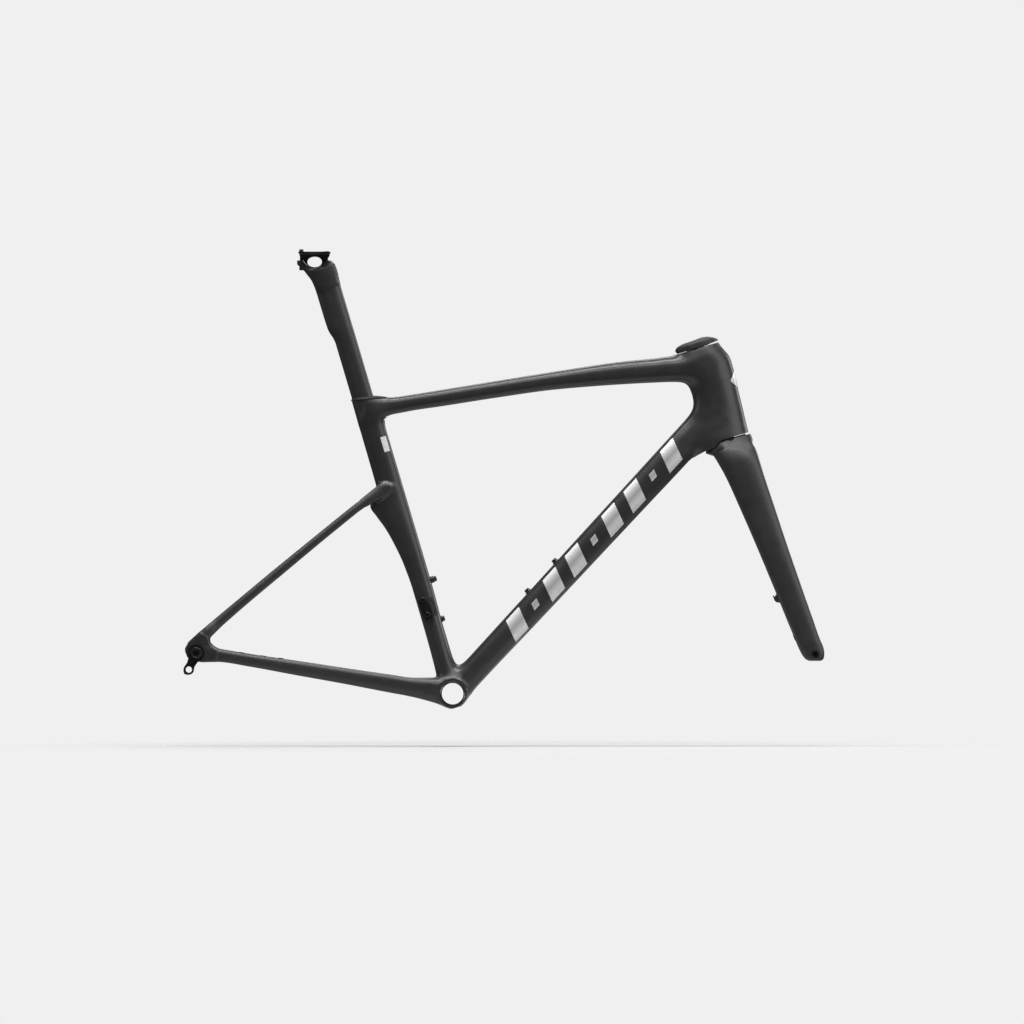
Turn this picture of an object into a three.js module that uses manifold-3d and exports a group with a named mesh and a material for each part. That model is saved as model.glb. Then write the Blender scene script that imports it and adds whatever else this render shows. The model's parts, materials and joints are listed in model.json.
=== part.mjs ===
// Carbon road bicycle frameset: frame, fork, aero seatpost and their fitted pieces.
// Millimetres. Origin at the centre of the bottom bracket, +X forward, +Y left, +Z up.
import * as THREE from 'three';
import { mergeVertices } from 'three/addons/utils/BufferGeometryUtils.js';
import Module from 'manifold-3d';

const wasm = await Module();
wasm.setup();

// ---- driving dimensions ----
const TUBE_ANGLE = THREE.MathUtils.degToRad(73.5); // of the seat tube and of the steering axis
const REAR_AXLE = [-405, 65.3];
const FRONT_AXLE = [574, 63.4];
const FORK_RAKE = 44.3;
const REAR_SPACING = 142; // between the inner faces of the rear dropouts
const FORK_SPACING = 100; // between the inner faces of the fork tips
const AXLE_RADIUS = 6;
const AXLE_HOLE_RADIUS = 6.3;
const BRACKET_WIDTH = 68;
const BRACKET_RADIUS = 22.5;
const SLEEVE_RADIUS = 19.2;
const SLEEVE_BORE_RADIUS = 17.2;
const DOWN_TUBE_ANGLE = THREE.MathUtils.degToRad(47.64);
const GAP = 0.3; // between pieces that touch
const WALL = 2.0; // of the carbon tubes
const SIDES = 14; // round a tube section
const WHEEL_CLEAR_RADIUS = 350;
const WHEEL_CLEAR_WIDTH = 42;

// Planes across the tubes, as distances along the axes defined below.
const BRACKET_LUG_TOP = 52; // height of the seat tube's lower end
const BRACKET_LUG_REACH = 52; // distance along the down tube of its lower end
const YOKE_END = -56; // x of the chainstays' front ends
const TOP_TUBE_REAR = 36; // distance ahead of the seat axis
const TOP_TUBE_FRONT = -48; // distance ahead of the steering axis
const DOWN_TUBE_END = 508; // distance along the down tube
const CROWN_TOP = 261.3; // along the steering axis
const HEAD_TUBE_BOTTOM = 264.2;
const HEAD_TUBE_TOP = 414.5;
const CROWN_BOTTOM = 222;
const HEAD_BORE_RADIUS = 20.6;
const BOSS_RADIUS = 27; // of the round shoulder on the crown's top
const SKIRT_RADIUS = 31.2;
const STEERER_RADIUS = 14.3;
const STEERER_FOOT = 247.5; // where the steerer stands in the crown

// Saddle clamp.
const TILT_AXIS = [-218.5, 697];
const SADDLE_SEAT_RADIUS = 21;
const RAIL_SPACING = 44;
const RAIL_RADIUS = 3.6;
const RAIL_HEIGHT = 695.4;

// ---- axes ----
const up = [-Math.cos(TUBE_ANGLE), Math.sin(TUBE_ANGLE)];
const ahead = [Math.sin(TUBE_ANGLE), Math.cos(TUBE_ANGLE)];
const STEER_OFFSET = FRONT_AXLE[0] * ahead[0] + FRONT_AXLE[1] * ahead[1] - FORK_RAKE;

// A point in the side plane, s along the seat tube's direction and t ahead of the seat axis.
function seatPoint(s, t) {
  return [up[0] * s + ahead[0] * t, up[1] * s + ahead[1] * t];
}

// The same, with t measured ahead of the steering axis.
function steerPoint(s, t) {
  return seatPoint(s, STEER_OFFSET + t);
}

// A point a along the down tube and n above its axis.
function downPoint(a, n) {
  const [c, s] = [Math.cos(DOWN_TUBE_ANGLE), Math.sin(DOWN_TUBE_ANGLE)];
  return [c * a - s * n, s * a + c * n];
}

// ---- solids ----
function solidOf(geometry) {
  geometry.deleteAttribute('normal');
  geometry.deleteAttribute('uv');
  const merged = mergeVertices(geometry, 1e-4);
  const vertProperties = new Float32Array(merged.attributes.position.array);
  const triVerts = new Uint32Array(merged.index.array);
  return new wasm.Manifold(new wasm.Mesh({ numProp: 3, vertProperties, triVerts }));
}

function geometryOf(solid) {
  const mesh = solid.getMesh();
  const geometry = new THREE.BufferGeometry();
  geometry.setAttribute('position', new THREE.BufferAttribute(mesh.vertProperties, 3));
  geometry.setIndex(new THREE.BufferAttribute(mesh.triVerts, 1));
  return geometry;
}

function join(...solids) {
  return solids.reduce((whole, piece) => whole.add(piece));
}

function largestPiece(solid) {
  const pieces = solid.decompose();
  return pieces.reduce((best, piece) => (piece.volume() > best.volume() ? piece : best));
}

// One cross-section: its two edge points in the side plane, its width and its sideways place.
function section(edgeA, edgeB, width, y = 0) {
  return { edgeA, edgeB, width, y };
}

function sectionRing({ edgeA, edgeB, width, y }, power, sides) {
  const ring = [];
  for (let i = 0; i < sides; i += 1) {
    const angle = (2 * Math.PI * i) / sides;
    const c = Math.sign(Math.cos(angle)) * Math.abs(Math.cos(angle)) ** (2 / power);
    const s = Math.sign(Math.sin(angle)) * Math.abs(Math.sin(angle)) ** (2 / power);
    const mix = (1 + c) / 2;
    const x = edgeB[0] + (edgeA[0] - edgeB[0]) * mix;
    const z = edgeB[1] + (edgeA[1] - edgeB[1]) * mix;
    ring.push(x, y + (s * width) / 2, z);
  }
  return ring;
}

// A closed skin over a row of cross-sections.
function loft(sections, power = 2.6, sides = SIDES) {
  const positions = [];
  const index = [];
  for (const one of sections) positions.push(...sectionRing(one, power, sides));
  for (let row = 0; row + 1 < sections.length; row += 1) {
    for (let i = 0; i < sides; i += 1) {
      const a = row * sides + i;
      const b = row * sides + ((i + 1) % sides);
      index.push(a, b, a + sides, b, b + sides, a + sides);
    }
  }
  const last = (sections.length - 1) * sides;
  for (let i = 1; i + 1 < sides; i += 1) {
    index.push(0, i + 1, i);
    index.push(last, last + i, last + i + 1);
  }
  const geometry = new THREE.BufferGeometry();
  geometry.setAttribute('position', new THREE.Float32BufferAttribute(positions, 3));
  geometry.setIndex(index);
  const solid = solidOf(geometry);
  if (solid.volume() > 0) return solid;
  for (let i = 0; i < index.length; i += 3) [index[i], index[i + 1]] = [index[i + 1], index[i]];
  geometry.setIndex(index);
  return solidOf(geometry);
}

// The same cross-section made smaller (or larger, with a negative inset) on every side.
function inset({ edgeA, edgeB, width, y }, amount) {
  const dx = edgeA[0] - edgeB[0];
  const dz = edgeA[1] - edgeB[1];
  const depth = Math.hypot(dx, dz);
  const [ux, uz] = [(dx / depth) * amount, (dz / depth) * amount];
  const a = [edgeA[0] - ux, edgeA[1] - uz];
  const b = [edgeB[0] + ux, edgeB[1] + uz];
  return section(a, b, width - 2 * amount, y);
}

function insetLoft(sections, amount, power = 2.6, sides = SIDES) {
  return loft(sections.map((one) => inset(one, amount)), power, sides);
}

// An outline in the side plane, pushed out from y = low to y = high.
function plate(outline, low, high) {
  const shape = new THREE.Shape(outline.map(([x, z]) => new THREE.Vector2(x, z)));
  const geometry = new THREE.ExtrudeGeometry(shape, { depth: high - low, bevelEnabled: false });
  geometry.rotateX(Math.PI / 2);
  geometry.translate(0, high, 0);
  return solidOf(geometry);
}

function rounded(centre, radiusX, radiusZ, from = 0, to = 2 * Math.PI, steps = 20) {
  const points = [];
  const whole = to - from >= 2 * Math.PI - 1e-6;
  const count = whole ? steps : steps + 1;
  for (let i = 0; i < count; i += 1) {
    const angle = from + ((to - from) * i) / steps;
    points.push([centre[0] + radiusX * Math.cos(angle), centre[1] + radiusZ * Math.sin(angle)]);
  }
  return points;
}

// A bar of round section across the frame, from y = low to y = high.
function crossBar(centre, radius, low, high, steps = 20) {
  return plate(rounded(centre, radius, radius, 0, 2 * Math.PI, steps), low, high);
}

// A box given by its corners.
function block(low, high) {
  const size = high.map((value, i) => value - low[i]);
  const geometry = new THREE.BoxGeometry(...size);
  geometry.translate(...low.map((value, i) => value + size[i] / 2));
  return solidOf(geometry);
}

// A profile of [radius, height] turned about an axis through base.
function turned(profile, base, direction, steps = 14) {
  const points = profile.map(([r, h]) => new THREE.Vector2(r, h));
  const geometry = new THREE.LatheGeometry(points, steps);
  const axis = new THREE.Vector3(...direction).normalize();
  const turn = new THREE.Quaternion().setFromUnitVectors(new THREE.Vector3(0, 1, 0), axis);
  geometry.applyQuaternion(turn);
  geometry.translate(...base);
  const solid = solidOf(geometry);
  if (solid.volume() > 0) return solid;
  return turned([...profile].reverse(), base, direction, steps);
}

// Turned about the steering axis: heights are distances along it.
function turnedOnSteering(profile, steps = 20) {
  const [x, z] = steerPoint(0, 0);
  return turned(profile, [x, 0, z], [up[0], 0, up[1]], steps);
}

function ringProfile(inner, outer, low, high) {
  return [[inner, low], [outer, low], [outer, high], [inner, high], [inner, low]];
}

function discProfile(radius, low, high) {
  return [[0, low], [radius, low], [radius, high], [0, high]];
}

// Everything on the far side of a line in the side plane, given by a point and a direction.
function sideOf(point, direction, reach = 900) {
  const length = Math.hypot(...direction);
  const [dx, dz] = direction.map((value) => (value / length) * reach);
  const [px, pz] = point;
  const outline = [
    [px - dz, pz + dx],
    [px - dz + dx, pz + dx + dz],
    [px + dz + dx, pz - dx + dz],
    [px + dz, pz - dx],
  ];
  return plate(outline.reverse(), -200, 200);
}

const downAlong = [Math.cos(DOWN_TUBE_ANGLE), Math.sin(DOWN_TUBE_ANGLE)];
const downAbove = [-downAlong[1], downAlong[0]];

// ---- tube sections ----
function seatSection(s, front, rear, width) {
  return section(seatPoint(s, front), seatPoint(s, rear), width);
}

function steerSection(s, front, rear, width) {
  return section(steerPoint(s, front), steerPoint(s, rear), width);
}

function downSection(a, above, below, width) {
  return section(downPoint(a, above), downPoint(a, -below), width);
}

const seatTubeSections = [
  seatSection(8, 17, -18, 60),
  seatSection(58, 16.4, -15, 47),
  seatSection(110, 16.2, -14, 38),
  seatSection(177, 18, -13.8, 32),
  seatSection(220, 18, -16.3, 30),
  seatSection(250, 18, -20.8, 30),
  seatSection(281, 18, -28.5, 30),
  seatSection(309, 18, -38, 30),
  seatSection(322, 18, -41, 30),
  seatSection(336, 18, -31, 29),
  seatSection(350, 18, -22.6, 29),
  seatSection(420, 18, -22, 29),
  seatSection(492, 18, -21.6, 29),
];
const seatCavitySections = [
  seatSection(8, 14, -15.5, 55),
  seatSection(58, 14, -12.6, 43),
  seatSection(110, 14, -12, 34),
  seatSection(177, 15, -11.8, 28),
  seatSection(250, 15, -17.4, 25.6),
  seatSection(310, 14.6, -20.9, 24.4),
  seatSection(500, 14.3, -20.9, 24.4),
];
const topTubeSections = [
  section([-128, 468.5], [-128, 434], 30),
  section([-96, 469.5], [-96, 437], 31),
  section([-58, 475], [-58, 448], 33),
  section([69, 495.4], [69, 469], 37),
  section([161, 510], [161, 481.6], 40),
  section([270, 526], [274, 490], 44),
  section([348, 535.5], [352, 494], 48),
  section([388, 541], [388, 492], 50),
];
const downTubeSections = [
  downSection(6, 19.4, 21, 64),
  downSection(60, 19.7, 21.3, 62),
  downSection(180, 19.7, 23.5, 56),
  downSection(300, 19.7, 25.2, 52),
  downSection(440, 19.7, 27.2, 50),
  downSection(540, 19.7, 28.6, 50),
  downSection(606, 19.9, 28.6, 50),
];
const headTubeSections = [
  steerSection(246, 43, -45, 56),
  steerSection(262, 43.2, -46, 57),
  steerSection(284, 44.2, -42, 53),
  steerSection(306, 45.3, -33, 50),
  steerSection(326, 46.2, -27, 49),
  steerSection(346, 47, -26, 49),
  steerSection(366, 48.3, -27, 49),
  steerSection(382, 46.6, -28.5, 50),
  steerSection(400, 42.8, -29.5, 52),
  steerSection(416, 37.8, -29.5, 53),
];
const crownSections = [
  steerSection(262.5, 44.5, -31, 50),
  steerSection(250.5, 44.2, -31, 59),
  steerSection(247.5, 44, -26, 62),
  steerSection(241.5, 43.8, -20.5, 69),
  steerSection(232, 43.2, -17.5, 76),
  steerSection(222, 42.6, -14.8, 82),
];
const postSections = [
  seatSection(392, 13.6, -20.2, 22.4),
  seatSection(586, 13.6, -20.2, 22.4),
  seatSection(609, 13.5, -26, 24),
  seatSection(694, 13.4, -26.6, 25),
];

const seatTubeBlank = loft(seatTubeSections);
const seatTubeRoom = insetLoft(seatTubeSections, -GAP);
const downTubeBlank = loft(downTubeSections, 3);
const topTubeBlank = loft(topTubeSections, 2.8);
const topTubeRoom = insetLoft(topTubeSections, WALL, 2.8);
const downTubeRoom = insetLoft(downTubeSections, WALL, 3);
const seatCavity = loft(seatCavitySections);
const bracketHalf = BRACKET_WIDTH / 2 - 0.5;
const bracketCore = crossBar([0, 0], BRACKET_RADIUS, -bracketHalf, bracketHalf, 28);
const postRoom = insetLoft(postSections, -GAP - 0.2);

// ---- where the frame's pieces meet ----
const aboveBracketLug = (offset) => sideOf([0, BRACKET_LUG_TOP + offset], [0, 1]);
const beyondBracketLug = (offset) => sideOf(downPoint(BRACKET_LUG_REACH + offset, 0), downAlong);
const aheadOfSeatCluster = (offset) => sideOf(seatPoint(440, TOP_TUBE_REAR + offset), ahead);
const aheadOfTopTube = (offset) => sideOf(steerPoint(400, TOP_TUBE_FRONT + offset), ahead);
const beyondDownTube = (offset) => sideOf(downPoint(DOWN_TUBE_END + offset, 0), downAlong);

// ---- frame body ----
function bottomBracketShell() {
  const seatStub = seatTubeBlank.subtract(aboveBracketLug(0));
  const downStub = downTubeBlank.subtract(beyondBracketLug(0));
  const crotch = plate([[-8, 30], [6, 30], [24, 51.9], [-8, 51.9]], -22, 22);
  const yoke = loft([
    section([-14, 22], [-14, -19.5], 64),
    section([-34, 24.5], [-34, -12.5], 66),
    section([YOKE_END, 24.5], [YOKE_END, -6], 70),
  ], 3.4);
  const cavity = join(
    insetLoft(seatTubeSections, 2.6).subtract(bracketCore),
    downTubeRoom.subtract(bracketCore),
  );
  const wheelRoom = crossBar(REAR_AXLE, WHEEL_CLEAR_RADIUS, -21, 21, 60);
  const outer = join(bracketCore, seatStub, downStub, crotch, yoke);
  const open = outer.subtract(cavity).subtract(wheelRoom);
  const bore = crossBar([0, 0], SLEEVE_RADIUS + GAP, -40, 40, 28);
  return largestPiece(open.subtract(bore).subtract(aboveBracketLug(0)).subtract(beyondBracketLug(0)));
}

function bottomBracketSleeve() {
  const half = BRACKET_WIDTH / 2;
  const outer = crossBar([0, 0], SLEEVE_RADIUS, -half, half, 28);
  return outer.subtract(crossBar([0, 0], SLEEVE_BORE_RADIUS, -40, 40, 28));
}

const SEAT_TOP_REAR = [-160, 463.5];
const SEAT_TOP_FRONT = [-104, 467.5];
const seatTopDirection = [SEAT_TOP_REAR[1] - SEAT_TOP_FRONT[1], SEAT_TOP_FRONT[0] - SEAT_TOP_REAR[0]];
const SEAT_BOSSES = [[182, 18, 9], [118, 16.6, 5]]; // along, surface, how far the bolt stands out
const BOSS_HOLE_RADIUS = 4.1;

function bossHole(centre, direction, low, high) {
  return turned(discProfile(BOSS_HOLE_RADIUS, low, high), centre, direction, 14);
}

function seatTube() {
  const stub = topTubeBlank.subtract(aheadOfSeatCluster(0));
  const wedgePocket = plate([
    seatPoint(446, 8), seatPoint(446, 25.4), seatPoint(500, 25.4), seatPoint(500, 8),
  ], -8.4, 8.4);
  const corner = plate([
    [-110, 438], [-106, 412], [-104.2, 421], [-102.6, 428], [-96, 435.4], [-82, 442],
  ], -12, 12);
  const stubRoom = topTubeRoom.subtract(sideOf(seatPoint(440, 27.5), [-ahead[0], -ahead[1]]));
  const outer = join(seatTubeBlank, stub, corner.subtract(aheadOfSeatCluster(0)));
  let solid = outer.subtract(seatCavity).subtract(stubRoom);
  solid = solid.subtract(wedgePocket).subtract(sideOf(SEAT_TOP_FRONT, seatTopDirection));
  solid = solid.intersect(aboveBracketLug(GAP));
  for (const [s] of SEAT_BOSSES) {
    const [x, z] = seatPoint(s, 0);
    solid = solid.subtract(bossHole([x, 0, z], [ahead[0], 0, ahead[1]], 6, 40));
  }
  return largestPiece(solid);
}

function topTube() {
  const solid = topTubeBlank.subtract(topTubeRoom);
  return largestPiece(solid.intersect(aheadOfSeatCluster(GAP)).subtract(aheadOfTopTube(-GAP)));
}

const DOWN_BOSSES = [200.5, 264.5];

function downTube() {
  let solid = downTubeBlank.subtract(downTubeRoom);
  solid = solid.intersect(beyondBracketLug(GAP)).subtract(beyondDownTube(-GAP));
  for (const a of DOWN_BOSSES) {
    const [x, z] = downPoint(a, 0);
    solid = solid.subtract(bossHole([x, 0, z], [downAbove[0], 0, downAbove[1]], 8, 40));
  }
  return largestPiece(solid);
}

function headTube() {
  const headCore = loft(headTubeSections, 2.5, 18);
  const topStub = topTubeBlank.intersect(aheadOfTopTube(0)).subtract(sideOf(steerPoint(330, 5), ahead));
  const downStub = downTubeBlank.intersect(beyondDownTube(0)).subtract(sideOf(steerPoint(330, -10), ahead));
  const corner = plate([[346, 500], [346, 493.5], [364, 491], [376, 481], [383, 468], [384, 455],
    [379, 447], [420, 447], [420, 500]], -21, 21);
  let solid = join(headCore, topStub, downStub, corner.intersect(aheadOfTopTube(0)));
  // The skirt behind the crown follows the crown's round shoulder.
  solid = solid.subtract(turnedOnSteering([
    [0, 200], [SKIRT_RADIUS + 1.2, 200], [SKIRT_RADIUS + 1.2, 252],
    [BOSS_RADIUS + 2.8, HEAD_TUBE_BOTTOM - 3], [BOSS_RADIUS + 0.6, HEAD_TUBE_BOTTOM],
    [0, HEAD_TUBE_BOTTOM],
  ]));
  const frontLow = [
    steerPoint(200, -3), steerPoint(HEAD_TUBE_BOTTOM, -3), steerPoint(HEAD_TUBE_BOTTOM, 80),
    steerPoint(200, 80),
  ];
  solid = solid.subtract(plate(frontLow, -60, 60));
  solid = solid.subtract(sideOf(steerPoint(HEAD_TUBE_TOP, 0), up));
  const bore = turnedOnSteering([
    [0, 240], [26.2, 240], [26.2, 273], [HEAD_BORE_RADIUS, 273], [HEAD_BORE_RADIUS, 403.8],
    [23.7, 403.8], [23.7, 440], [0, 440],
  ]);
  const behind = steerPoint(330, -22.6);
  const tubeRooms = join(topTubeRoom, downTubeRoom).subtract(sideOf(behind, ahead));
  return largestPiece(solid.subtract(bore).subtract(tubeRooms));
}

// Sections from the dropout to the seat tube; the right side, at negative y.
const seatstaySections = [
  section([-409, 88], [-391, 70], 9, -74.4),
  section([-400, 99], [-390, 88], 10, -73.2),
  section([-372, 122], [-363, 111], 10.5, -66),
  section([-280, 199], [-271, 188], 11, -46),
  section([-189, 273], [-180.4, 262.4], 11.5, -30.5),
  section([-146, 307], [-138, 292], 12, -22.5),
  section([-122, 327], [-114, 306], 11, -16.5),
  section([-101, 334.5], [-96, 323], 7, -15.6),
];
const chainstaySections = [
  section([YOKE_END + 1, 24.5], [YOKE_END + 1, -6], 14, -28),
  section([-100, 30.6], [-100, 2.4], 15, -31),
  section([-170, 40.5], [-170, 15.5], 15, -38),
  section([-247, 52], [-247, 29.8], 14, -51.5),
  section([-320, 62.6], [-320, 44], 12, -65),
  section([-362, 69.5], [-366, 51], 10, -73),
  section([-386, 74], [-388, 52], 9, -74.4),
];

function mirrored(solid) {
  return solid.mirror([0, 1, 0]);
}

const BEHIND_YOKE = sideOf([YOKE_END - GAP, 0], [-1, 0]);
const dropoutOutline = [
  [-372, 51], [-364.6, 51], [-364.6, 69.2], [-373, 72], [-378.4, 75], [-385, 82], [-386.6, 88],
  [-399.5, 101], [-413, 84], [-421, 76],
  ...rounded(REAR_AXLE, 16.5, 14.5, Math.PI * 0.86, Math.PI * 1.5, 6),
];

function rightChainstay() {
  const hollow = loft(chainstaySections.slice(0, 6).map((one) => inset(one, 2.1)), 2.8);
  const blank = loft(chainstaySections, 2.8).intersect(BEHIND_YOKE);
  const frontEnd = sideOf([-352, 0], [-1, 0]);
  return largestPiece(blank.subtract(hollow.subtract(frontEnd)).subtract(sideOf([-364.3, 0], [-1, 0])));
}

function rightSeatstay() {
  const hollow = loft(seatstaySections.slice(1, 7).map((one) => inset(one, 1.9)), 2.6, 12);
  const blank = loft(seatstaySections, 2.6, 12).subtract(seatTubeRoom);
  const lowerEnd = sideOf([-386.7, 88.3], [-0.774, -0.633]);
  const farEnd = sideOf([-140, 300], [0.774, 0.633]);
  return largestPiece(blank.subtract(hollow.subtract(farEnd)).subtract(lowerEnd));
}

// A carbon end plate with the axle hole; the stays butt against its edges.
function dropout(outerFace) {
  const inner = REAR_SPACING / 2;
  const body = plate(dropoutOutline, -outerFace, -inner);
  const toSeatstay = sideOf([-386.5, 88], [0.774, 0.633]);
  const hole = crossBar(REAR_AXLE, AXLE_HOLE_RADIUS, -95, -60, 24);
  return largestPiece(body.subtract(hole).subtract(toSeatstay));
}

const HANGER_EYE = [-416.6, 38.9];
const dropoutSkin = plate(dropoutOutline, -78, -60);

function derailleurHanger() {
  const ring = crossBar(REAR_AXLE, 12.8, -81, -78.3, 28);
  const arm = plate([
    [-417, 60], [-422, 52], [-421.4, 47], [-424.4, 42], [-424.6, 36], [-423.6, 31], [-418, 30.6],
    [-411.6, 33], [-408.6, 38], [-407, 44], [-403, 50], [-399, 55],
  ], -80.4, -77.2);
  const body = join(ring, arm);
  const holes = join(
    crossBar(REAR_AXLE, AXLE_HOLE_RADIUS, -95, -60, 24),
    crossBar(HANGER_EYE, 4.9, -95, -60, 20),
  );
  return body.subtract(holes).subtract(dropoutSkin);
}

function hangerNut() {
  const outer = crossBar(REAR_AXLE, 9.2, -84.2, -81.3, 24);
  return outer.subtract(crossBar(REAR_AXLE, AXLE_HOLE_RADIUS, -95, -60, 24));
}

const MOUNT_BOLTS = [[-46.2, 148.8], [-39.4, 125.6]];

function mountPlate() {
  const outline = [
    seatPoint(158, -10.6), seatPoint(158, -0.5), seatPoint(140, 5.2), seatPoint(122, 5.2),
    seatPoint(122, -10.6),
  ];
  const holes = MOUNT_BOLTS.map((at) => crossBar(at, 2.8, -40, 0, 10));
  return plate(outline.reverse(), -21.4, -18.9).subtract(join(...holes));
}

function mountBolt(at) {
  const head = crossBar(at, 4.4, -25, -21.7, 12);
  const shank = crossBar(at, 2.5, -21.8, -19, 10);
  return join(head, shank).subtract(plate(rounded(at, 2.1, 2.1, 0, 2 * Math.PI, 6), -26, -23));
}

function wirePortGrommet() {
  const centre = seatPoint(141, 12.2);
  const strip = plate([
    seatPoint(126, 10.6), seatPoint(126, 13.8), seatPoint(157, 13.8), seatPoint(157, 10.6),
  ].reverse(), -22, -12);
  const slot = plate(rounded(centre, 0.8, 8, 0, 2 * Math.PI, 10), -30, 0);
  return largestPiece(strip.subtract(seatTubeRoom).subtract(slot));
}

// A cage bolt: a low button head over a flange, with its threaded shank.
function cageBolt(centre, direction, reach) {
  const shape = [
    [0, 7.5], [2.4, 7.5], [2.4, reach - 3.2], [4.4, reach - 3.2], [4.4, reach - 1.2], [3.4, reach],
    [1.9, reach], [1.9, reach - 2], [0, reach - 2],
  ];
  return turned(shape, centre, direction, 12);
}

// A threaded insert whose flange stands on the tube, under the bolt's head.
function cageInsert(centre, direction, surface, top) {
  const low = surface - 5;
  const shape = [
    [2.7, low], [3.8, low], [3.8, surface + GAP], [4.8, surface + GAP], [4.8, top], [2.7, top], [2.7, low],
  ];
  return turned(shape, centre, direction, 12);
}

// ---- headset ----
const lowerBearing = () => turnedOnSteering(ringProfile(19.9, 25.9, HEAD_TUBE_BOTTOM + 0.6, 272.7));
const upperBearing = () => turnedOnSteering(ringProfile(18.4, 23.4, 404.1, 411.6));
const crownRace = () => turnedOnSteering(ringProfile(19.6, 25.6, CROWN_TOP + GAP, HEAD_TUBE_BOTTOM + GAP));
const compressionRing = () => turnedOnSteering(ringProfile(14.6, 18.1, 405, 413.6));

function headsetCover() {
  const rows = [
    [-31.5, 415.6, 420.4, 8], [-28, 415.2, 424, 22], [-21, 415.2, 427.6, 32], [-8, 415.2, 429.2, 41],
    [10, 415.2, 430.4, 44], [24, 415.8, 427.4, 40], [33, 417.6, 423.8, 30], [37.6, 418.2, 420.8, 12],
  ];
  const sections = rows.map(([t, low, high, width]) => (
    section(steerPoint(high, t), steerPoint(low, t), width)));
  const bore = turnedOnSteering(discProfile(16.6, 400, 440));
  return loft(sections, 3.4, 20).subtract(bore);
}

// ---- fork ----
function forkCrown() {
  const blank = loft(crownSections, 2.5, 20);
  const boss = turnedOnSteering([
    [0, 180], [SKIRT_RADIUS, 180], [SKIRT_RADIUS, 251], [BOSS_RADIUS + 1.6, CROWN_TOP - 3],
    [BOSS_RADIUS, CROWN_TOP], [0, CROWN_TOP],
  ]);
  const frontHalf = sideOf(steerPoint(240, 2), ahead);
  const low = sideOf(steerPoint(249, 0), [-up[0], -up[1]]);
  let solid = blank.intersect(join(boss, frontHalf, low));
  solid = solid.subtract(sideOf(steerPoint(CROWN_TOP, 0), up));
  solid = solid.subtract(sideOf(steerPoint(CROWN_BOTTOM + GAP, 0), [-up[0], -up[1]]));
  const arch = crossBar(FRONT_AXLE, WHEEL_CLEAR_RADIUS, -WHEEL_CLEAR_WIDTH / 2, WHEEL_CLEAR_WIDTH / 2, 60);
  const bore = turnedOnSteering(discProfile(19.4, STEERER_FOOT - 1, 300));
  return largestPiece(solid.subtract(arch).subtract(bore));
}

// Leg sections at the right side, from the crown to the tip: rear edge, front edge, width, y.
const legSections = [
  section(steerPoint(228, -16.5), steerPoint(228, 43.2), 20, -30.6),
  section([429, 350], [492, 350], 19.6, -31.6),
  section([455, 296], [509.4, 296], 17.4, -36.2),
  section([479.5, 240], [528, 240], 16, -41.5),
  section([510.5, 166], [553.4, 166], 14, -48.5),
  section([540, 94], [578, 94], 13, -54.4),
  section([549.2, 73], [586, 73], 13.6, -56),
  section([553, 64], [589, 64], 13.6, -56),
  section([559, 55.4], [587.4, 54.6], 12.6, -56),
];

function forkLeg() {
  const blank = loft(legSections, 2.4, 16);
  const hollow = loft(legSections.slice(0, 6).map((one) => inset(one, 2.3)), 2.4, 12);
  const crownSide = sideOf(steerPoint(CROWN_BOTTOM, 0), up);
  const innerFace = block([500, -FORK_SPACING / 2, 40], [620, 0, 92]);
  const hole = crossBar(FRONT_AXLE, AXLE_HOLE_RADIUS, -70, -40, 24);
  const room = crossBar(FRONT_AXLE, WHEEL_CLEAR_RADIUS, -WHEEL_CLEAR_WIDTH / 2, WHEEL_CLEAR_WIDTH / 2, 60);
  const legs = blank.subtract(crownSide).subtract(hollow).subtract(innerFace);
  return largestPiece(legs.subtract(hole).subtract(room));
}

function forkSteerer() {
  return turnedOnSteering([
    [12, STEERER_FOOT], [19, STEERER_FOOT], [19, 272], [STEERER_RADIUS, 300], [STEERER_RADIUS, 424],
    [12, 424], [12, STEERER_FOOT],
  ]);
}

function expanderPlug() {
  return turnedOnSteering([
    [3.4, 386], [9, 386], [11.6, 392], [11.6, 424.3], [14, 424.3], [14, 425.8], [3.4, 425.8], [3.4, 386],
  ]);
}

function expanderBolt() {
  return turnedOnSteering([
    [0, 384], [3, 384], [3, 426.1], [5.2, 426.1], [5.2, 428.8], [2.5, 428.8], [2.5, 427.2], [0, 427.2],
  ], 18);
}

// ---- axles ----
function axle(centre, low, high) {
  const shaft = crossBar(centre, AXLE_RADIUS, low, high, 18);
  const head = crossBar(centre, 9, high, high + 4.5, 18);
  const socket = plate(rounded(centre, 3.2, 3.2, 0, 2 * Math.PI, 6), high - 3, high + 8);
  const tipHole = plate(rounded(centre, 3.2, 3.2, 0, 2 * Math.PI, 6), low - 2, low + 8);
  return join(shaft, head).subtract(socket).subtract(tipHole);
}

// ---- seatpost and its clamps ----
const CLAMP_BOLTS = [-239.6, -199.6];
const scoop = plate(rounded([TILT_AXIS[0], 684.4], 11.6, 8.4, 0, 2 * Math.PI, 20), -40, 40);

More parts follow.
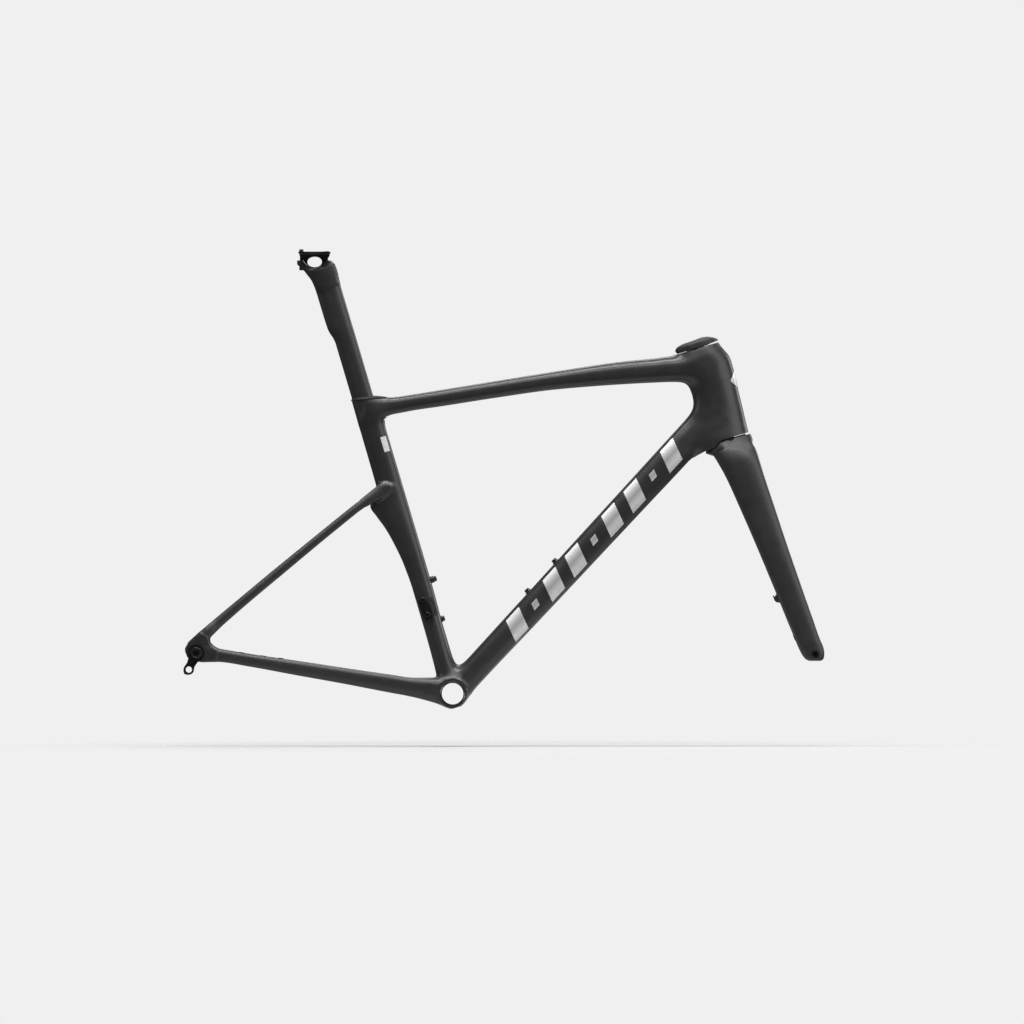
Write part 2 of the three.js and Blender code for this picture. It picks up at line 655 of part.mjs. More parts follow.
function seatpost() {
  const head = plate([
    seatPoint(672, -24), seatPoint(690, -26.4), seatPoint(697, -29.4), seatPoint(709, -35.2),
    seatPoint(717, -40), seatPoint(723, -43.4), [-246.6, 688], [-195.6, 688], seatPoint(708, 12.6),
    seatPoint(690, 13.2), seatPoint(672, 12.8),
  ].reverse(), -11.5, 11.5);
  const seat = crossBar(TILT_AXIS, SADDLE_SEAT_RADIUS + GAP, -40, 40, 40);
  const boltRooms = join(
    block([-250, -3.8, 660], [-233, 3.8, 700]),
    block([-207, -3.8, 664], [-188, 3.8, 700]),
  );
  const inner = insetLoft([
    seatSection(380, 13.6, -20.2, 22.4),
    seatSection(586, 13.6, -20.2, 22.4),
    seatSection(609, 13.5, -26, 24),
    seatSection(646, 13.4, -26, 24),
  ], WALL);
  const outer = join(loft(postSections), head);
  const cut = outer.subtract(sideOf([0, 686.6], [0, 1])).subtract(seat).subtract(scoop);
  return largestPiece(cut.subtract(boltRooms).subtract(inner));
}

function lowerCradle() {
  const x = TILT_AXIS[0];
  const bar = plate([
    [x - 26, 691.4], [x - 20, 690.2], [x + 20, 690.2], [x + 25, 691.4], [x + 25, 695], [x - 26, 695],
  ], -29, 29);
  const lobe = crossBar(TILT_AXIS, SADDLE_SEAT_RADIUS, -11.5, 11.5, 40);
  const solid = join(bar, lobe.subtract(sideOf([0, 694.9], [0, 1])));
  return largestPiece(solid.subtract(join(scoop, railGroove(-1), railGroove(1), ...clampBoltRooms())));
}

function railGroove(side) {
  const y = (side * RAIL_SPACING) / 2;
  return turned(discProfile(RAIL_RADIUS, -60, 60), [TILT_AXIS[0], y, RAIL_HEIGHT], [1, 0, 0], 16);
}

function clampBoltRooms() {
  return CLAMP_BOLTS.map((at) => block([at - 3, -3, 660], [at + 3, 3, 710]));
}

function railClamp() {
  const x = TILT_AXIS[0];
  const outline = [[x - 26, 695.4], [x + 25, 695.4], [x + 21.5, 700.4], [x - 22.5, 700.4]];
  const solid = plate(outline, -30, 30).subtract(railGroove(-1)).subtract(railGroove(1));
  const middle = block([x - 11, -9, 690], [x + 10, 9, 710]);
  const recesses = CLAMP_BOLTS.map((at) => (
    turned(discProfile(5.2, 699.2, 710), [at, 0, 0], [0, 0, 1], 16)));
  return solid.subtract(join(...clampBoltRooms(), ...recesses)).subtract(middle);
}

function clampBolt(x, low, headTop) {
  return turned([
    [0, low], [2.4, low], [2.4, 699.6], [4.3, 699.6], [4.3, headTop], [2, headTop], [2, headTop - 1],
    [0, headTop - 1],
  ], [x, 0, 0], [0, 0, 1], 16);
}

function clampNut(x, low, high) {
  const body = turned(discProfile(3.3, low, high), [x, 0, 0], [0, 0, 1], 16);
  return body.subtract(turned(discProfile(2.7, low - 1, high + 1), [x, 0, 0], [0, 0, 1], 16));
}

function seatWedge() {
  const outline = [seatPoint(449, 14.9), seatPoint(449, 24.6), seatPoint(474, 24.6), seatPoint(474, 14.9)];
  const body = plate(outline, -7.8, 7.8);
  const hole = wedgeBoltShape(2.8);
  return body.subtract(hole);
}

function wedgeBoltShape(radius) {
  const [x, z] = seatPoint(0, 19.8);
  return turned(discProfile(radius, 440, 500), [x, 0, z], [up[0], 0, up[1]], 14);
}

function wedgeBolt() {
  const [x, z] = seatPoint(0, 19.8);
  return turned([
    [0, 447.6], [2.4, 447.6], [2.4, 474.3], [3.9, 474.3], [3.9, 477.2], [1.9, 477.2], [1.9, 475.4],
    [0, 475.4],
  ], [x, 0, z], [up[0], 0, up[1]], 14);
}

function seatClusterCover() {
  const lens = loft([
    section([-160.5, 465.6], [-160.5, 464], 6),
    section([-156, 468.4], [-156, 464.2], 24),
    section([-140, 471], [-140, 465.2], 31),
    section([-122, 472], [-122, 466.6], 27),
    section([-111, 471], [-111, 467.4], 16),
    section([-105, 469.4], [-105, 467.8], 6),
  ], 3, 20);
  return largestPiece(lens.subtract(postRoom));
}

// A short ring that stands on a surface: brake mount inserts and cable exits.
function bush(inner, outer, height, base, direction) {
  return turned(ringProfile(inner, outer, 0, height), base, direction, 14);
}

const STAY_NORMAL = [0.144, 0, 0.99];
const STAY_INSERTS = [[-301, 61.1, 60.4], [-335, 68, 65.6]];
const LEG_NORMAL = [-0.929, 0, -0.37];
const LEG_INSERTS = [[[514.9, 49.7, 153], 5], [[541.1, 54.7, 88], 1.8]];

// ---- materials ----
const carbon = { color: 0x2b2c2e, roughness: 0.5, metalness: 0.1 };
const blackMetal = { color: 0x141416, roughness: 0.3, metalness: 0.8 };
const bareMetal = { color: 0xa8abb0, roughness: 0.35, metalness: 0.9 };
const steel = { color: 0x8e9196, roughness: 0.35, metalness: 0.9 };
const rubber = { color: 0x1c1c1d, roughness: 0.8, metalness: 0 };
const plastic = { color: 0x1a1a1c, roughness: 0.55, metalness: 0 };

const frameset = new THREE.Group();

function addNode(name, solid, look) {
  const mesh = new THREE.Mesh(geometryOf(solid), new THREE.MeshStandardMaterial(look));
  mesh.name = name;
  frameset.add(mesh);
}

const chainstay = rightChainstay();
const seatstay = rightSeatstay();
const leg = forkLeg();
const [seatDirection, downDirection] = [[ahead[0], 0, ahead[1]], [downAbove[0], 0, downAbove[1]]];

addNode('bottom_bracket_shell', bottomBracketShell(), carbon);
addNode('bottom_bracket_sleeve', bottomBracketSleeve(), bareMetal);
addNode('seat_tube', seatTube(), carbon);
addNode('top_tube', topTube(), carbon);
addNode('down_tube', downTube(), carbon);
addNode('head_tube', headTube(), carbon);
addNode('right_chainstay', chainstay, carbon);
addNode('left_chainstay', mirrored(chainstay), carbon);
addNode('right_seatstay', seatstay, carbon);
addNode('left_seatstay', mirrored(seatstay), carbon);
addNode('right_dropout', dropout(78), carbon);
addNode('left_dropout', mirrored(dropout(79.5)), carbon);
addNode('derailleur_hanger', derailleurHanger(), blackMetal);
addNode('hanger_nut', hangerNut(), blackMetal);
addNode('front_derailleur_mount', mountPlate(), blackMetal);
MOUNT_BOLTS.forEach((at, i) => addNode(`front_derailleur_bolt_${i + 1}`, mountBolt(at), steel));
addNode('wire_port_grommet', wirePortGrommet(), rubber);
SEAT_BOSSES.forEach(([s, surface, stand], i) => {
  const [x, z] = seatPoint(s, 0);
  const top = surface + stand - 3.5;
  addNode(`seat_tube_insert_${i + 1}`, cageInsert([x, 0, z], seatDirection, surface, top), steel);
  addNode(`seat_tube_bolt_${i + 1}`, cageBolt([x, 0, z], seatDirection, surface + stand), blackMetal);
});
DOWN_BOSSES.forEach((a, i) => {
  const [x, z] = downPoint(a, 0);
  addNode(`down_tube_insert_${i + 1}`, cageInsert([x, 0, z], downDirection, 19.7, 21.2), steel);
  addNode(`down_tube_bolt_${i + 1}`, cageBolt([x, 0, z], downDirection, 24.7), blackMetal);
});
addNode('lower_headset_bearing', lowerBearing(), steel);
addNode('upper_headset_bearing', upperBearing(), steel);
addNode('headset_cover', headsetCover(), plastic);
addNode('seatpost_wedge', seatWedge(), bareMetal);
addNode('wedge_bolt', wedgeBolt(), steel);
addNode('seat_cluster_cover', seatClusterCover(), rubber);
addNode('fork_crown', forkCrown(), carbon);
addNode('fork_steerer', forkSteerer(), carbon);
addNode('right_fork_leg', leg, carbon);
addNode('left_fork_leg', mirrored(leg), carbon);
addNode('crown_race', crownRace(), steel);
addNode('compression_ring', compressionRing(), bareMetal);
addNode('expander_plug', expanderPlug(), bareMetal);
addNode('expander_bolt', expanderBolt(), steel);
addNode('front_thru_axle', axle(FRONT_AXLE, -61.5, 63.2), blackMetal);
addNode('rear_thru_axle', axle(REAR_AXLE, -83.6, 79.9), blackMetal);
addNode('seatpost', seatpost(), carbon);
addNode('lower_cradle', lowerCradle(), blackMetal);
addNode('rail_clamp', railClamp(), blackMetal);
addNode('clamp_bolt_rear', clampBolt(CLAMP_BOLTS[0], 671.6, 704.4), steel);
addNode('clamp_bolt_front', clampBolt(CLAMP_BOLTS[1], 674, 701.4), steel);
addNode('clamp_nut_rear', clampNut(CLAMP_BOLTS[0], 671, 679), steel);
addNode('clamp_nut_front', clampNut(CLAMP_BOLTS[1], 673, 679), steel);
LEG_INSERTS.forEach(([at, height], i) => {
  addNode(`fork_brake_insert_${i + 1}`, bush(2.6, 5, height, at, LEG_NORMAL), bareMetal);
});
STAY_INSERTS.forEach((at, i) => {
  addNode(`chainstay_brake_insert_${i + 1}`, bush(2.6, 4.8, 0.8, at, STAY_NORMAL), bareMetal);
});
addNode('brake_hose_grommet', bush(2.7, 4.4, 1, [-272, 56.2, 56.2], STAY_NORMAL), rubber);
addNode('rear_wire_grommet', bush(1.3, 3.2, 1.6, [-346, -63.6, 59], [0, 1, 0]), rubber);

export default frameset;
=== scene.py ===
# Looks of a carbon road bicycle frameset: shells, fittings, finishes, studio.
# Shapes are worked out in millimetres in the frame's own axes: +X forward, +Y left, +Z up.
import json
import math

import bmesh
import bpy
import numpy as np
import openvdb
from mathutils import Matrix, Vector


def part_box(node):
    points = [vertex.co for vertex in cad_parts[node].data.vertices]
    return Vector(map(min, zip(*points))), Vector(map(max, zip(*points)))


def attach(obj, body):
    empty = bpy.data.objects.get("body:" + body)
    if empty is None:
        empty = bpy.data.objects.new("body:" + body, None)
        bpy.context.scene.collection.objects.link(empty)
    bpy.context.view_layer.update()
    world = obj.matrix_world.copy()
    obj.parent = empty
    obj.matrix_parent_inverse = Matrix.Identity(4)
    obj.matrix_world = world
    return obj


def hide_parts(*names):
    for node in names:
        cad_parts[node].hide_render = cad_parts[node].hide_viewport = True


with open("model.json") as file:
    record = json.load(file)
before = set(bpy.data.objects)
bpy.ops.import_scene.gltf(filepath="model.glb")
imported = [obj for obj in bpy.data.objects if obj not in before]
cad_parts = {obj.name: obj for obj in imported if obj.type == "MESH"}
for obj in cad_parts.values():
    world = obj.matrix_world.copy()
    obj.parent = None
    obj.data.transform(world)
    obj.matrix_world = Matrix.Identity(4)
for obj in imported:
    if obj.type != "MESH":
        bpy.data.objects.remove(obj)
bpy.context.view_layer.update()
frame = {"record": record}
MM = 0.001
TINY = 1e-6
FAR = 40.0


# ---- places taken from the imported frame, in millimetres ----
def joint(name):
    return next(j for j in frame["record"]["behaviour"]["joints"] if j["name"] == name)


def middle(node):
    low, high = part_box(node)
    return (np.array(low) + np.array(high)) / 2 / MM


def side_middle(node):
    return middle(node)[[0, 2]]


steer = joint("fork_steer")
UP = np.array([steer["axis"][0], steer["axis"][2]])
AHEAD = np.array([UP[1], -UP[0]])
STEER_AT = np.array([steer["pos_m"][0], steer["pos_m"][2]]) / MM
STEER_OFFSET = float(STEER_AT @ AHEAD)
REAR_AXLE = side_middle("rear_thru_axle")
FRONT_AXLE = side_middle("front_thru_axle")
TILT = joint("saddle_tilt")["pos_m"]
WHEEL_ROOM = 350.0
TYRE_ROOM = 20.5
DOWN_ANGLE = math.radians(47.64)
DOWN = np.array([math.cos(DOWN_ANGLE), math.sin(DOWN_ANGLE)])
DOWN_ABOVE = np.array([-DOWN[1], DOWN[0]])
CROWN_TOP = 261.3
HEAD_TUBE_BOTTOM = 264.2
HEAD_TUBE_TOP = 414.5


def seat_point(s, t):
    """A side-plane point s along the seat axis and t ahead of it."""
    return UP * s + AHEAD * t


def steer_point(s, t):
    """The same, from the steering axis."""
    return UP * s + AHEAD * (STEER_OFFSET + t)


def seat_outline(*points):
    return [seat_point(s, t) for s, t in points]


def steer_outline(*points):
    return [steer_point(s, t) for s, t in points]


def down_point(a, n):
    return DOWN * a + DOWN_ABOVE * n


# ---- solid shapes as fields: below zero inside, about a distance in millimetres ----
def smooth_curve(xs, ys, x):
    """A smooth curve through points, with no overshoot between them."""
    xs, ys = np.asarray(xs, float), np.asarray(ys, float)
    step = np.diff(xs)
    slope = np.diff(ys) / step
    tangent = np.empty_like(ys)
    tangent[0], tangent[-1] = slope[0], slope[-1]
    same = slope[:-1] * slope[1:] > 0
    total = step[:-1] + step[1:]
    with np.errstate(divide="ignore", invalid="ignore"):
        mean = 3 * total / ((total + step[1:]) / slope[:-1] + (total + step[:-1]) / slope[1:])
    tangent[1:-1] = np.where(same, mean, 0.0)
    x = np.clip(x, xs[0], xs[-1])
    i = np.clip(np.searchsorted(xs, x) - 1, 0, len(step) - 1)
    h = step[i]
    t = (x - xs[i]) / h
    a = (1 + 2 * t) * (1 - t) ** 2 * ys[i] + t * (1 - t) ** 2 * h * tangent[i]
    return a + t * t * (3 - 2 * t) * ys[i + 1] + t * t * (t - 1) * h * tangent[i + 1]


def blend(a, b, k):
    """The union of two fields, with a fillet about k wide."""
    h = np.maximum(k - np.abs(a - b), 0) / k
    return np.minimum(a, b) - h * h * h * k / 6


def carve(a, b, k):
    """Field a with field b taken out of it, and the edge rounded."""
    return -blend(-a, b, k)


class Tube:
    """Rows of (s, high edge, low edge, half width, sideways centre) along a straight line."""

    def __init__(self, along, across, rows, power, origin=(0.0, 0.0), paired=False, end=6.0):
        self.origin, self.along, self.across = np.array(origin), along, across
        self.columns = np.array([tuple(r) + (0.0,) * (5 - len(r)) for r in rows]).T
        self.power, self.paired, self.end = power, paired, end

    def __call__(self, x, y, z):
        dx, dz = x - self.origin[0], z - self.origin[1]
        s = dx * self.along[0] + dz * self.along[1]
        n = dx * self.across[0] + dz * self.across[1]
        places = self.columns[0]
        high, low, wide, side = (smooth_curve(places, column, s) for column in self.columns[1:])
        half = (high - low) / 2
        u = (n - (high + low) / 2) / half
        v = ((np.abs(y) if self.paired else y) - side) / wide
        p = self.power
        au, av = np.abs(u) + TINY, np.abs(v) + TINY
        rho = (au**p + av**p) ** (1 / p)
        slope = np.hypot((au / rho) ** (p - 1) / half, (av / rho) ** (p - 1) / wide)
        beyond = np.maximum(places[0] - s, s - places[-1])
        return -blend(-(rho - 1) / slope, -beyond, self.end)

    def box(self, margin):
        corners = []
        for s, high, low, wide, side in self.columns.T:
            near = -(wide + side) if self.paired else side - wide
            for n in (high, low):
                x, z = self.origin + self.along * s + self.across * n
                corners += [(x, wide + side, z), (x, near, z)]
        return np.min(corners, axis=0) - margin, np.max(corners, axis=0) + margin


class Bar:
    """A round bar along Y."""

    def __init__(self, centre, radius, low, high, end=3.0):
        self.centre, self.radius, self.low, self.high, self.end = centre, radius, low, high, end

    def __call__(self, x, y, z):
        around = np.hypot(x - self.centre[0], z - self.centre[1]) - self.radius
        return -blend(-around, -np.maximum(self.low - y, y - self.high), self.end)

    def box(self, margin):
        (x, z), r = self.centre, self.radius
        return np.array([x - r, self.low, z - r]) - margin, np.array([x + r, self.high, z + r]) + margin


class Plate:
    """A side-plane outline between two sideways faces, the same on both sides."""

    def __init__(self, outline, low, high, end):
        self.outline, self.low, self.high, self.end = np.array(outline, float), low, high, end

    def __call__(self, x, y, z):
        inside = np.zeros(np.broadcast(x, z).shape, bool)
        nearest = np.full(inside.shape, np.inf)
        for a, b in zip(self.outline, np.roll(self.outline, -1, axis=0)):
            edge = b - a
            t = np.clip(((x - a[0]) * edge[0] + (z - a[1]) * edge[1]) / (edge @ edge), 0, 1)
            nearest = np.minimum(nearest, np.hypot(x - a[0] - t * edge[0], z - a[1] - t * edge[1]))
            crosses = (a[1] > z) != (b[1] > z)
            inside ^= crosses & (x < a[0] + (z - a[1]) * edge[0] / (edge[1] or TINY))
        around = np.where(inside, -nearest, nearest)
        y = np.abs(y)
        return -blend(-around, -np.maximum(self.low - y, y - self.high), self.end)

    def box(self, margin):
        (x0, z0), (x1, z1) = self.outline.min(0), self.outline.max(0)
        return np.array([x0, -self.high, z0]) - margin, np.array([x1, self.high, z1]) + margin


class Union:
    """Fields joined one after another, each with its own fillet, then carved."""

    def __init__(self, parts, cuts=()):
        self.parts, self.cuts = parts, cuts

    def __call__(self, x, y, z):
        total = self.parts[0][0](x, y, z)
        for part, fillet in self.parts[1:]:
            total = blend(total, part(x, y, z), fillet)
        for cut, fillet in self.cuts:
            total = carve(total, cut(x, y, z), fillet)
        return total

    def sampled(self, low, high, step):
        """The field on a grid; each part is worked out only near itself."""
        counts = np.ceil((high - low) / step).astype(int) + 1
        axes = [low[i] + step * np.arange(counts[i]) for i in range(3)]
        total = np.full(counts, FAR)
        for part, fillet in self.parts:
            first, last = part.box(fillet + 12.0)
            i0 = np.clip(((first - low) / step).astype(int), 0, counts)
            i1 = np.clip(((last - low) / step).astype(int) + 2, 0, counts)
            x, y, z = (axes[i][i0[i]:i1[i]] for i in range(3))
            values = part(x[:, None, None], y[None, :, None], z[None, None, :])
            view = total[i0[0]:i1[0], i0[1]:i1[1], i0[2]:i1[2]]
            view[...] = blend(view, values, max(fillet, 0.5))
        x, y, z = axes
        for cut, fillet in self.cuts:
            total = carve(total, cut(x[:, None, None], y[None, :, None], z[None, None, :]), fillet)
        return total


def changes(field, points, h):
    """How much a field changes from h before each point to h after it, along each axis."""
    steps = np.eye(3) * h
    return np.stack([field(*(points + step).T) - field(*(points - step).T) for step in steps], axis=1)


def settle(field, points, rounds=4):
    """Moves points onto the field's surface."""
    h, longest = 0.05, 1.5
    for _ in range(rounds):
        slope = changes(field, points, h) / (2 * h)
        size = np.maximum((slope**2).sum(1), 0.05)
        step = slope * (field(*points.T) / size)[:, None]
        points = points - np.clip(step, -longest, longest)
    return points


def relax(field, points, faces, rounds=2):
    """Evens out the spacing of a mesh's points, keeping them on the field's surface."""
    links = np.vstack([faces[:, [k, (k + 1) % faces.shape[1]]] for k in range(faces.shape[1])])
    links = np.vstack([links, links[:, ::-1]])
    count = np.maximum(np.bincount(links[:, 0], minlength=len(points)), 1)[:, None]
    for _ in range(rounds):
        total = np.stack([np.bincount(links[:, 0], weights=points[links[:, 1], k], minlength=len(points))
                          for k in range(3)], axis=1)
        points = settle(field, (points + total / count) / 2, 2)
    return points


def add_object(name, data):
    obj = bpy.data.objects.new(name, data)
    bpy.context.scene.collection.objects.link(obj)
    return obj


def new_object(name, vertices, faces):
    mesh = bpy.data.meshes.new(name)
    mesh.from_pydata((np.asarray(vertices) * MM).tolist(), [], [list(map(int, f)) for f in faces])
    mesh.update()
    mesh.shade_smooth()
    return add_object(name, mesh)


def shell(name, field, step, low=None, high=None):
    """A closed mesh of a field's surface, or of the stretch of it between two corners."""
    boxes = [part.box(3 * step) for part, _ in field.parts]
    low = np.min([b[0] for b in boxes], axis=0) if low is None else np.array(low, float)
    high = np.max([b[1] for b in boxes], axis=0) if high is None else np.array(high, float)
    values = field.sampled(low, high, step)
    grid = openvdb.FloatGrid(FAR)
    grid.copyFromArray(values.astype(np.float32))
    points, triangles, quads = grid.convertToPolygons(isovalue=0.0, adaptivity=0.0)
    points = settle(field, low + points.astype(float) * step)
    points = relax(field, points, np.asarray(quads).reshape(-1, 4).astype(int))
    faces = list(quads) + list(triangles)
    return new_object(name, points, faces)


# ---- frame shell ----
SEAT_ROWS = [  # along the seat axis: front edge, rear edge, half width
    (4, 17, -18, 27.5), (60, 16.4, -15, 23.5), (110, 16.4, -14, 19), (177, 18, -13.8, 16),
    (217, 18, -16, 15), (250, 18, -20.8, 15), (281, 18, -27.8, 15), (304, 18, -36, 15), (320, 18, -41, 15),
    (334, 18, -33, 14.8), (350, 18, -22.6, 14.7), (420, 18, -22, 14.5), (500, 18, -21.5, 14.5),
]
TOP_ROWS = [  # by x: upper edge, lower edge, half width
    (-132, 468.4, 440, 14.5), (-96, 470, 443, 15.5), (-58, 475.2, 449.6, 16.5), (-21, 481.2, 455, 17.5),
    (69, 495.8, 469, 18.5), (161, 510.6, 481.8, 20), (270, 526.6, 490.4, 22), (319, 531.4, 493, 23.5),
    (348, 534.6, 494, 25), (380, 534, 494, 24.6), (398, 532.4, 496, 20), (412, 530, 500, 12),
]
DOWN_ROWS = [  # along the down tube: above its axis, below it, half width
    (-4, 19.2, -20.8, 29), (60, 19.7, -21.3, 30), (180, 19.7, -23.5, 28), (300, 19.7, -25.2, 26),
    (440, 19.7, -27.2, 25), (506, 19.7, -28.2, 25), (540, 19.7, -28.4, 23.4),
    (572, 19.8, -28.5, 19), (606, 19.9, -28.6, 12),
]
HEAD_ROWS = [  # along the steering axis: front edge, rear edge, half width
    (240, 43, -45, 28.5), (264, 43.4, -45, 28.6), (284, 44.3, -41, 26.6), (306, 45.6, -32, 25),
    (326, 46.6, -27, 24.4), (346, 47.8, -25.6, 24.3), (362, 49, -26, 24.4), (380, 49.2, -27.5, 24.8),
    (388, 48.4, -28, 25.2), (398, 44.4, -29, 26), (408, 40, -29.4, 24.8), (422, 35.6, -29.5, 21),
]
CHAINSTAY_ROWS = [  # by x: upper edge, lower edge, half width, sideways centre
    (-396, 75, 52, 4, 75), (-368, 70.4, 50.8, 5, 74), (-320, 62.6, 43.2, 6, 65.5), (-247, 52, 29.6, 7, 52),
    (-170, 40.5, 15.6, 7.5, 38.5), (-100, 30.4, 2, 8, 30), (-60, 25, -5.4, 9.5, 26),
    (-34, 24.4, -11.6, 12, 22), (-2, 22, -21, 14, 18),
]
YOKE_ROWS = [(-66, 22, -2, 24), (-40, 24, -10, 25.5), (-4, 21, -18.4, 26.5)]  # by x, as the top tube
SEATSTAY_ALONG = np.array([0.774, 0.633])
SEATSTAY_ABOVE = np.array([-0.633, 0.774])
SEATSTAY_FOOT = REAR_AXLE + np.array([-8, 18.7])
SEATSTAY_ROWS = [  # along the seatstay: upper edge, lower edge, half width, sideways centre
    (-6, 1, -14, 4.2, 74.8), (23, 3, -14, 5, 74), (54, 3.6, -11.8, 5.5, 66.5), (115, 4.3, -10, 5.6, 56.5),
    (176, 4.8, -9.4, 5.8, 46), (274, 4.7, -8.6, 6, 30.5), (330, 4.4, -8.9, 6.4, 22.5),
    (356, 4.2, -12, 6, 18.6), (384, 4, -17, 5, 15.4), (396, 0, -15.6, 4.6, 14.6), (402.5, -9, -14, 3.6, 14),
]
DROPOUT = [
    (-376, 54), (-374, 69), (-378.5, 74), (-384, 80), (-387, 87), (-398, 94), (-411, 84),
    (-421, 76), (-423, 72), (-422.6, 67), (-419, 58), (-411, 52.4), (-403, 51),
]
X_AXIS, Z_AXIS = np.array([1.0, 0.0]), np.array([0.0, 1.0])
BRAKE_BOSS = side_middle("fork_brake_insert_1") + np.array([4.0, -1.5])


def frame_field():
    seat = Tube(UP, AHEAD, SEAT_ROWS, 2.5)
    top = Tube(X_AXIS, Z_AXIS, TOP_ROWS, 2.9)
    down = Tube(DOWN, DOWN_ABOVE, DOWN_ROWS, 3.0)
    head = Tube(UP, AHEAD, HEAD_ROWS, 2.3, AHEAD * STEER_OFFSET, end=2.0)
    chainstay = Tube(X_AXIS, Z_AXIS, CHAINSTAY_ROWS, 2.7, paired=True)
    seatstay = Tube(SEATSTAY_ALONG, SEATSTAY_ABOVE, SEATSTAY_ROWS, 2.4, SEATSTAY_FOOT, paired=True)
    core = Bar((0, 0), 22.2, -34.6, 34.6, end=1.0)
    yoke = Tube(X_AXIS, Z_AXIS, YOKE_ROWS, 3.0)
    dropout = Plate(DROPOUT, 71.6, 78.4, end=3.3)
    wheel = Bar(REAR_AXLE, WHEEL_ROOM + 2, -TYRE_ROOM, TYRE_ROOM, end=6.0)
    return Union([
        (down, 0.0), (seat, 30.0), (top, 30.0), (head, 22.0), (core, 14.0), (yoke, 12.0), (chainstay, 14.0),
        (seatstay, 9.0), (dropout, 10.0),
    ], [(wheel, 5.0)])


def fork_field():
    legs = [  # by height: front edge, rear edge, half width, sideways centre
        (52.4, 584.6, 562, 4.6, 56), (57, 587.6, 557.5, 5.6, 56), (65, 588.4, 552.6, 5.9, 56),
        (94, 578.8, 540, 6.2, 54.2), (166, 553.8, 510.5, 7, 48.5), (240, 528.4, 479.5, 8, 41.5),
        (296, 510, 455, 8.7, 36.2), (350, 492.2, 430, 9.8, 31.6), (370, 486.2, 418.5, 11.6, 28.2),
        (386, 481.8, 409, 13.2, 22.4), (397, 478.6, 404.6, 14, 16.4), (412, 471.8, 399, 15, 9.6),
        (440, 462, 390, 15, 4),
    ]
    crown = [
        (216, 32, -11, 30), (226, 34, -14, 31), (236, 35.6, -17, 30.4), (243, 36.4, -21, 29.6),
        (248, 37, -27, 28.4), (252, 37.6, -31.6, 27), (272, 38, -32, 24.6),
    ]
    leg = Tube(Z_AXIS, X_AXIS, legs, 2.4, paired=True, end=5.0)
    body = Tube(UP, AHEAD, crown, 2.4, AHEAD * STEER_OFFSET, end=4.0)
    wheel = Bar(FRONT_AXLE, WHEEL_ROOM, -TYRE_ROOM - 0.5, TYRE_ROOM + 0.5, end=14.0)
    tip = Bar(FRONT_AXLE, 34, -50.0, 50.0, end=1.0)
    boss = Bar(BRAKE_BOSS, 6.4, 44.0, 53.0, end=3.0)
    return Union([(leg, 0.0), (body, 16.0), (boss, 4.0)], [(wheel, 10.0), (tip, 1.5)])


# ---- meshes with crisp edges ----
def replace_mesh(obj):
    """Applies an object's modifiers to its mesh."""
    graph = bpy.context.evaluated_depsgraph_get()
    mesh = bpy.data.meshes.new_from_object(obj.evaluated_get(graph))
    old = obj.data
    obj.modifiers.clear()
    obj.data = mesh
    bpy.data.meshes.remove(old)


def combine(piece, others, operation, solver="EXACT"):
    """Applies a boolean of a piece with each of the others, and removes those."""
    for other in others:
        modifier = piece.modifiers.new(operation, "BOOLEAN")
        modifier.operation, modifier.solver, modifier.object = operation, solver, other
    replace_mesh(piece)
    for other in others:
        mesh = other.data
        bpy.data.objects.remove(other)
        bpy.data.meshes.remove(mesh)


def cut_away(piece, cutters, solver="MANIFOLD"):
    combine(piece, cutters, "DIFFERENCE", solver)
    crisp(piece)


def crisp(piece, angle=32.0):
    piece.data.shade_smooth()
    piece.data.set_sharp_from_angle(angle=math.radians(angle))


def outward(obj):
    """Turns all faces of a closed mesh outwards."""
    mesh = bmesh.new()
    mesh.from_mesh(obj.data)
    bmesh.ops.recalc_face_normals(mesh, faces=mesh.faces)
    mesh.to_mesh(obj.data)
    mesh.free()
    crisp(obj)
    return obj


def bevel(piece, width):
    """Rounds the crisp edges of a piece."""
    modifier = piece.modifiers.new("bevel", "BEVEL")
    modifier.width, modifier.segments = width * MM, 2
    modifier.limit_method, modifier.angle_limit = "ANGLE", math.radians(30.0)
    modifier.use_clamp_overlap = True
    replace_mesh(piece)
    crisp(piece, 50.0)
    return piece


def strip(first, second, sides):
    """The quads between two rings of vertices, from the number of each ring's first vertex."""
    return [[first + i, first + (i + 1) % sides, second + (i + 1) % sides, second + i] for i in range(sides)]


def prism(outline, low, high, name="prism"):
    """An outline in the side plane, from y = low to y = high."""
    n = len(outline)
    vertices = [(x, y, z) for y in (low, high) for x, z in outline]
    faces = [list(range(n)), list(range(2 * n - 1, n - 1, -1)), *strip(0, n, n)]
    return outward(new_object(name, vertices, faces))


def through(outline, half, name="prism"):
    return prism(outline, -half, half, name)


def ellipse(centre, radius_x, radius_z, steps=64):
    angles = np.linspace(0, 2 * math.pi, steps + 1)[:-1]
    return [(centre[0] + radius_x * math.cos(a), centre[1] + radius_z * math.sin(a)) for a in angles]


def softened(profile, size, steps=3):
    """A profile of (radius, height) with its corners rounded."""
    points = [np.array(p, float) for p in profile]
    result = [points[0]]
    for before, at, after in zip(points, points[1:], points[2:]):
        first, second = before - at, after - at
        reach = min(size, np.hypot(*first) * 0.45, np.hypot(*second) * 0.45)
        start, end = at + first / np.hypot(*first) * reach, at + second / np.hypot(*second) * reach
        for t in np.linspace(0, 1, steps):
            result.append(start * (1 - t) ** 2 + at * 2 * t * (1 - t) + end * t * t)
    return result + [points[-1]]


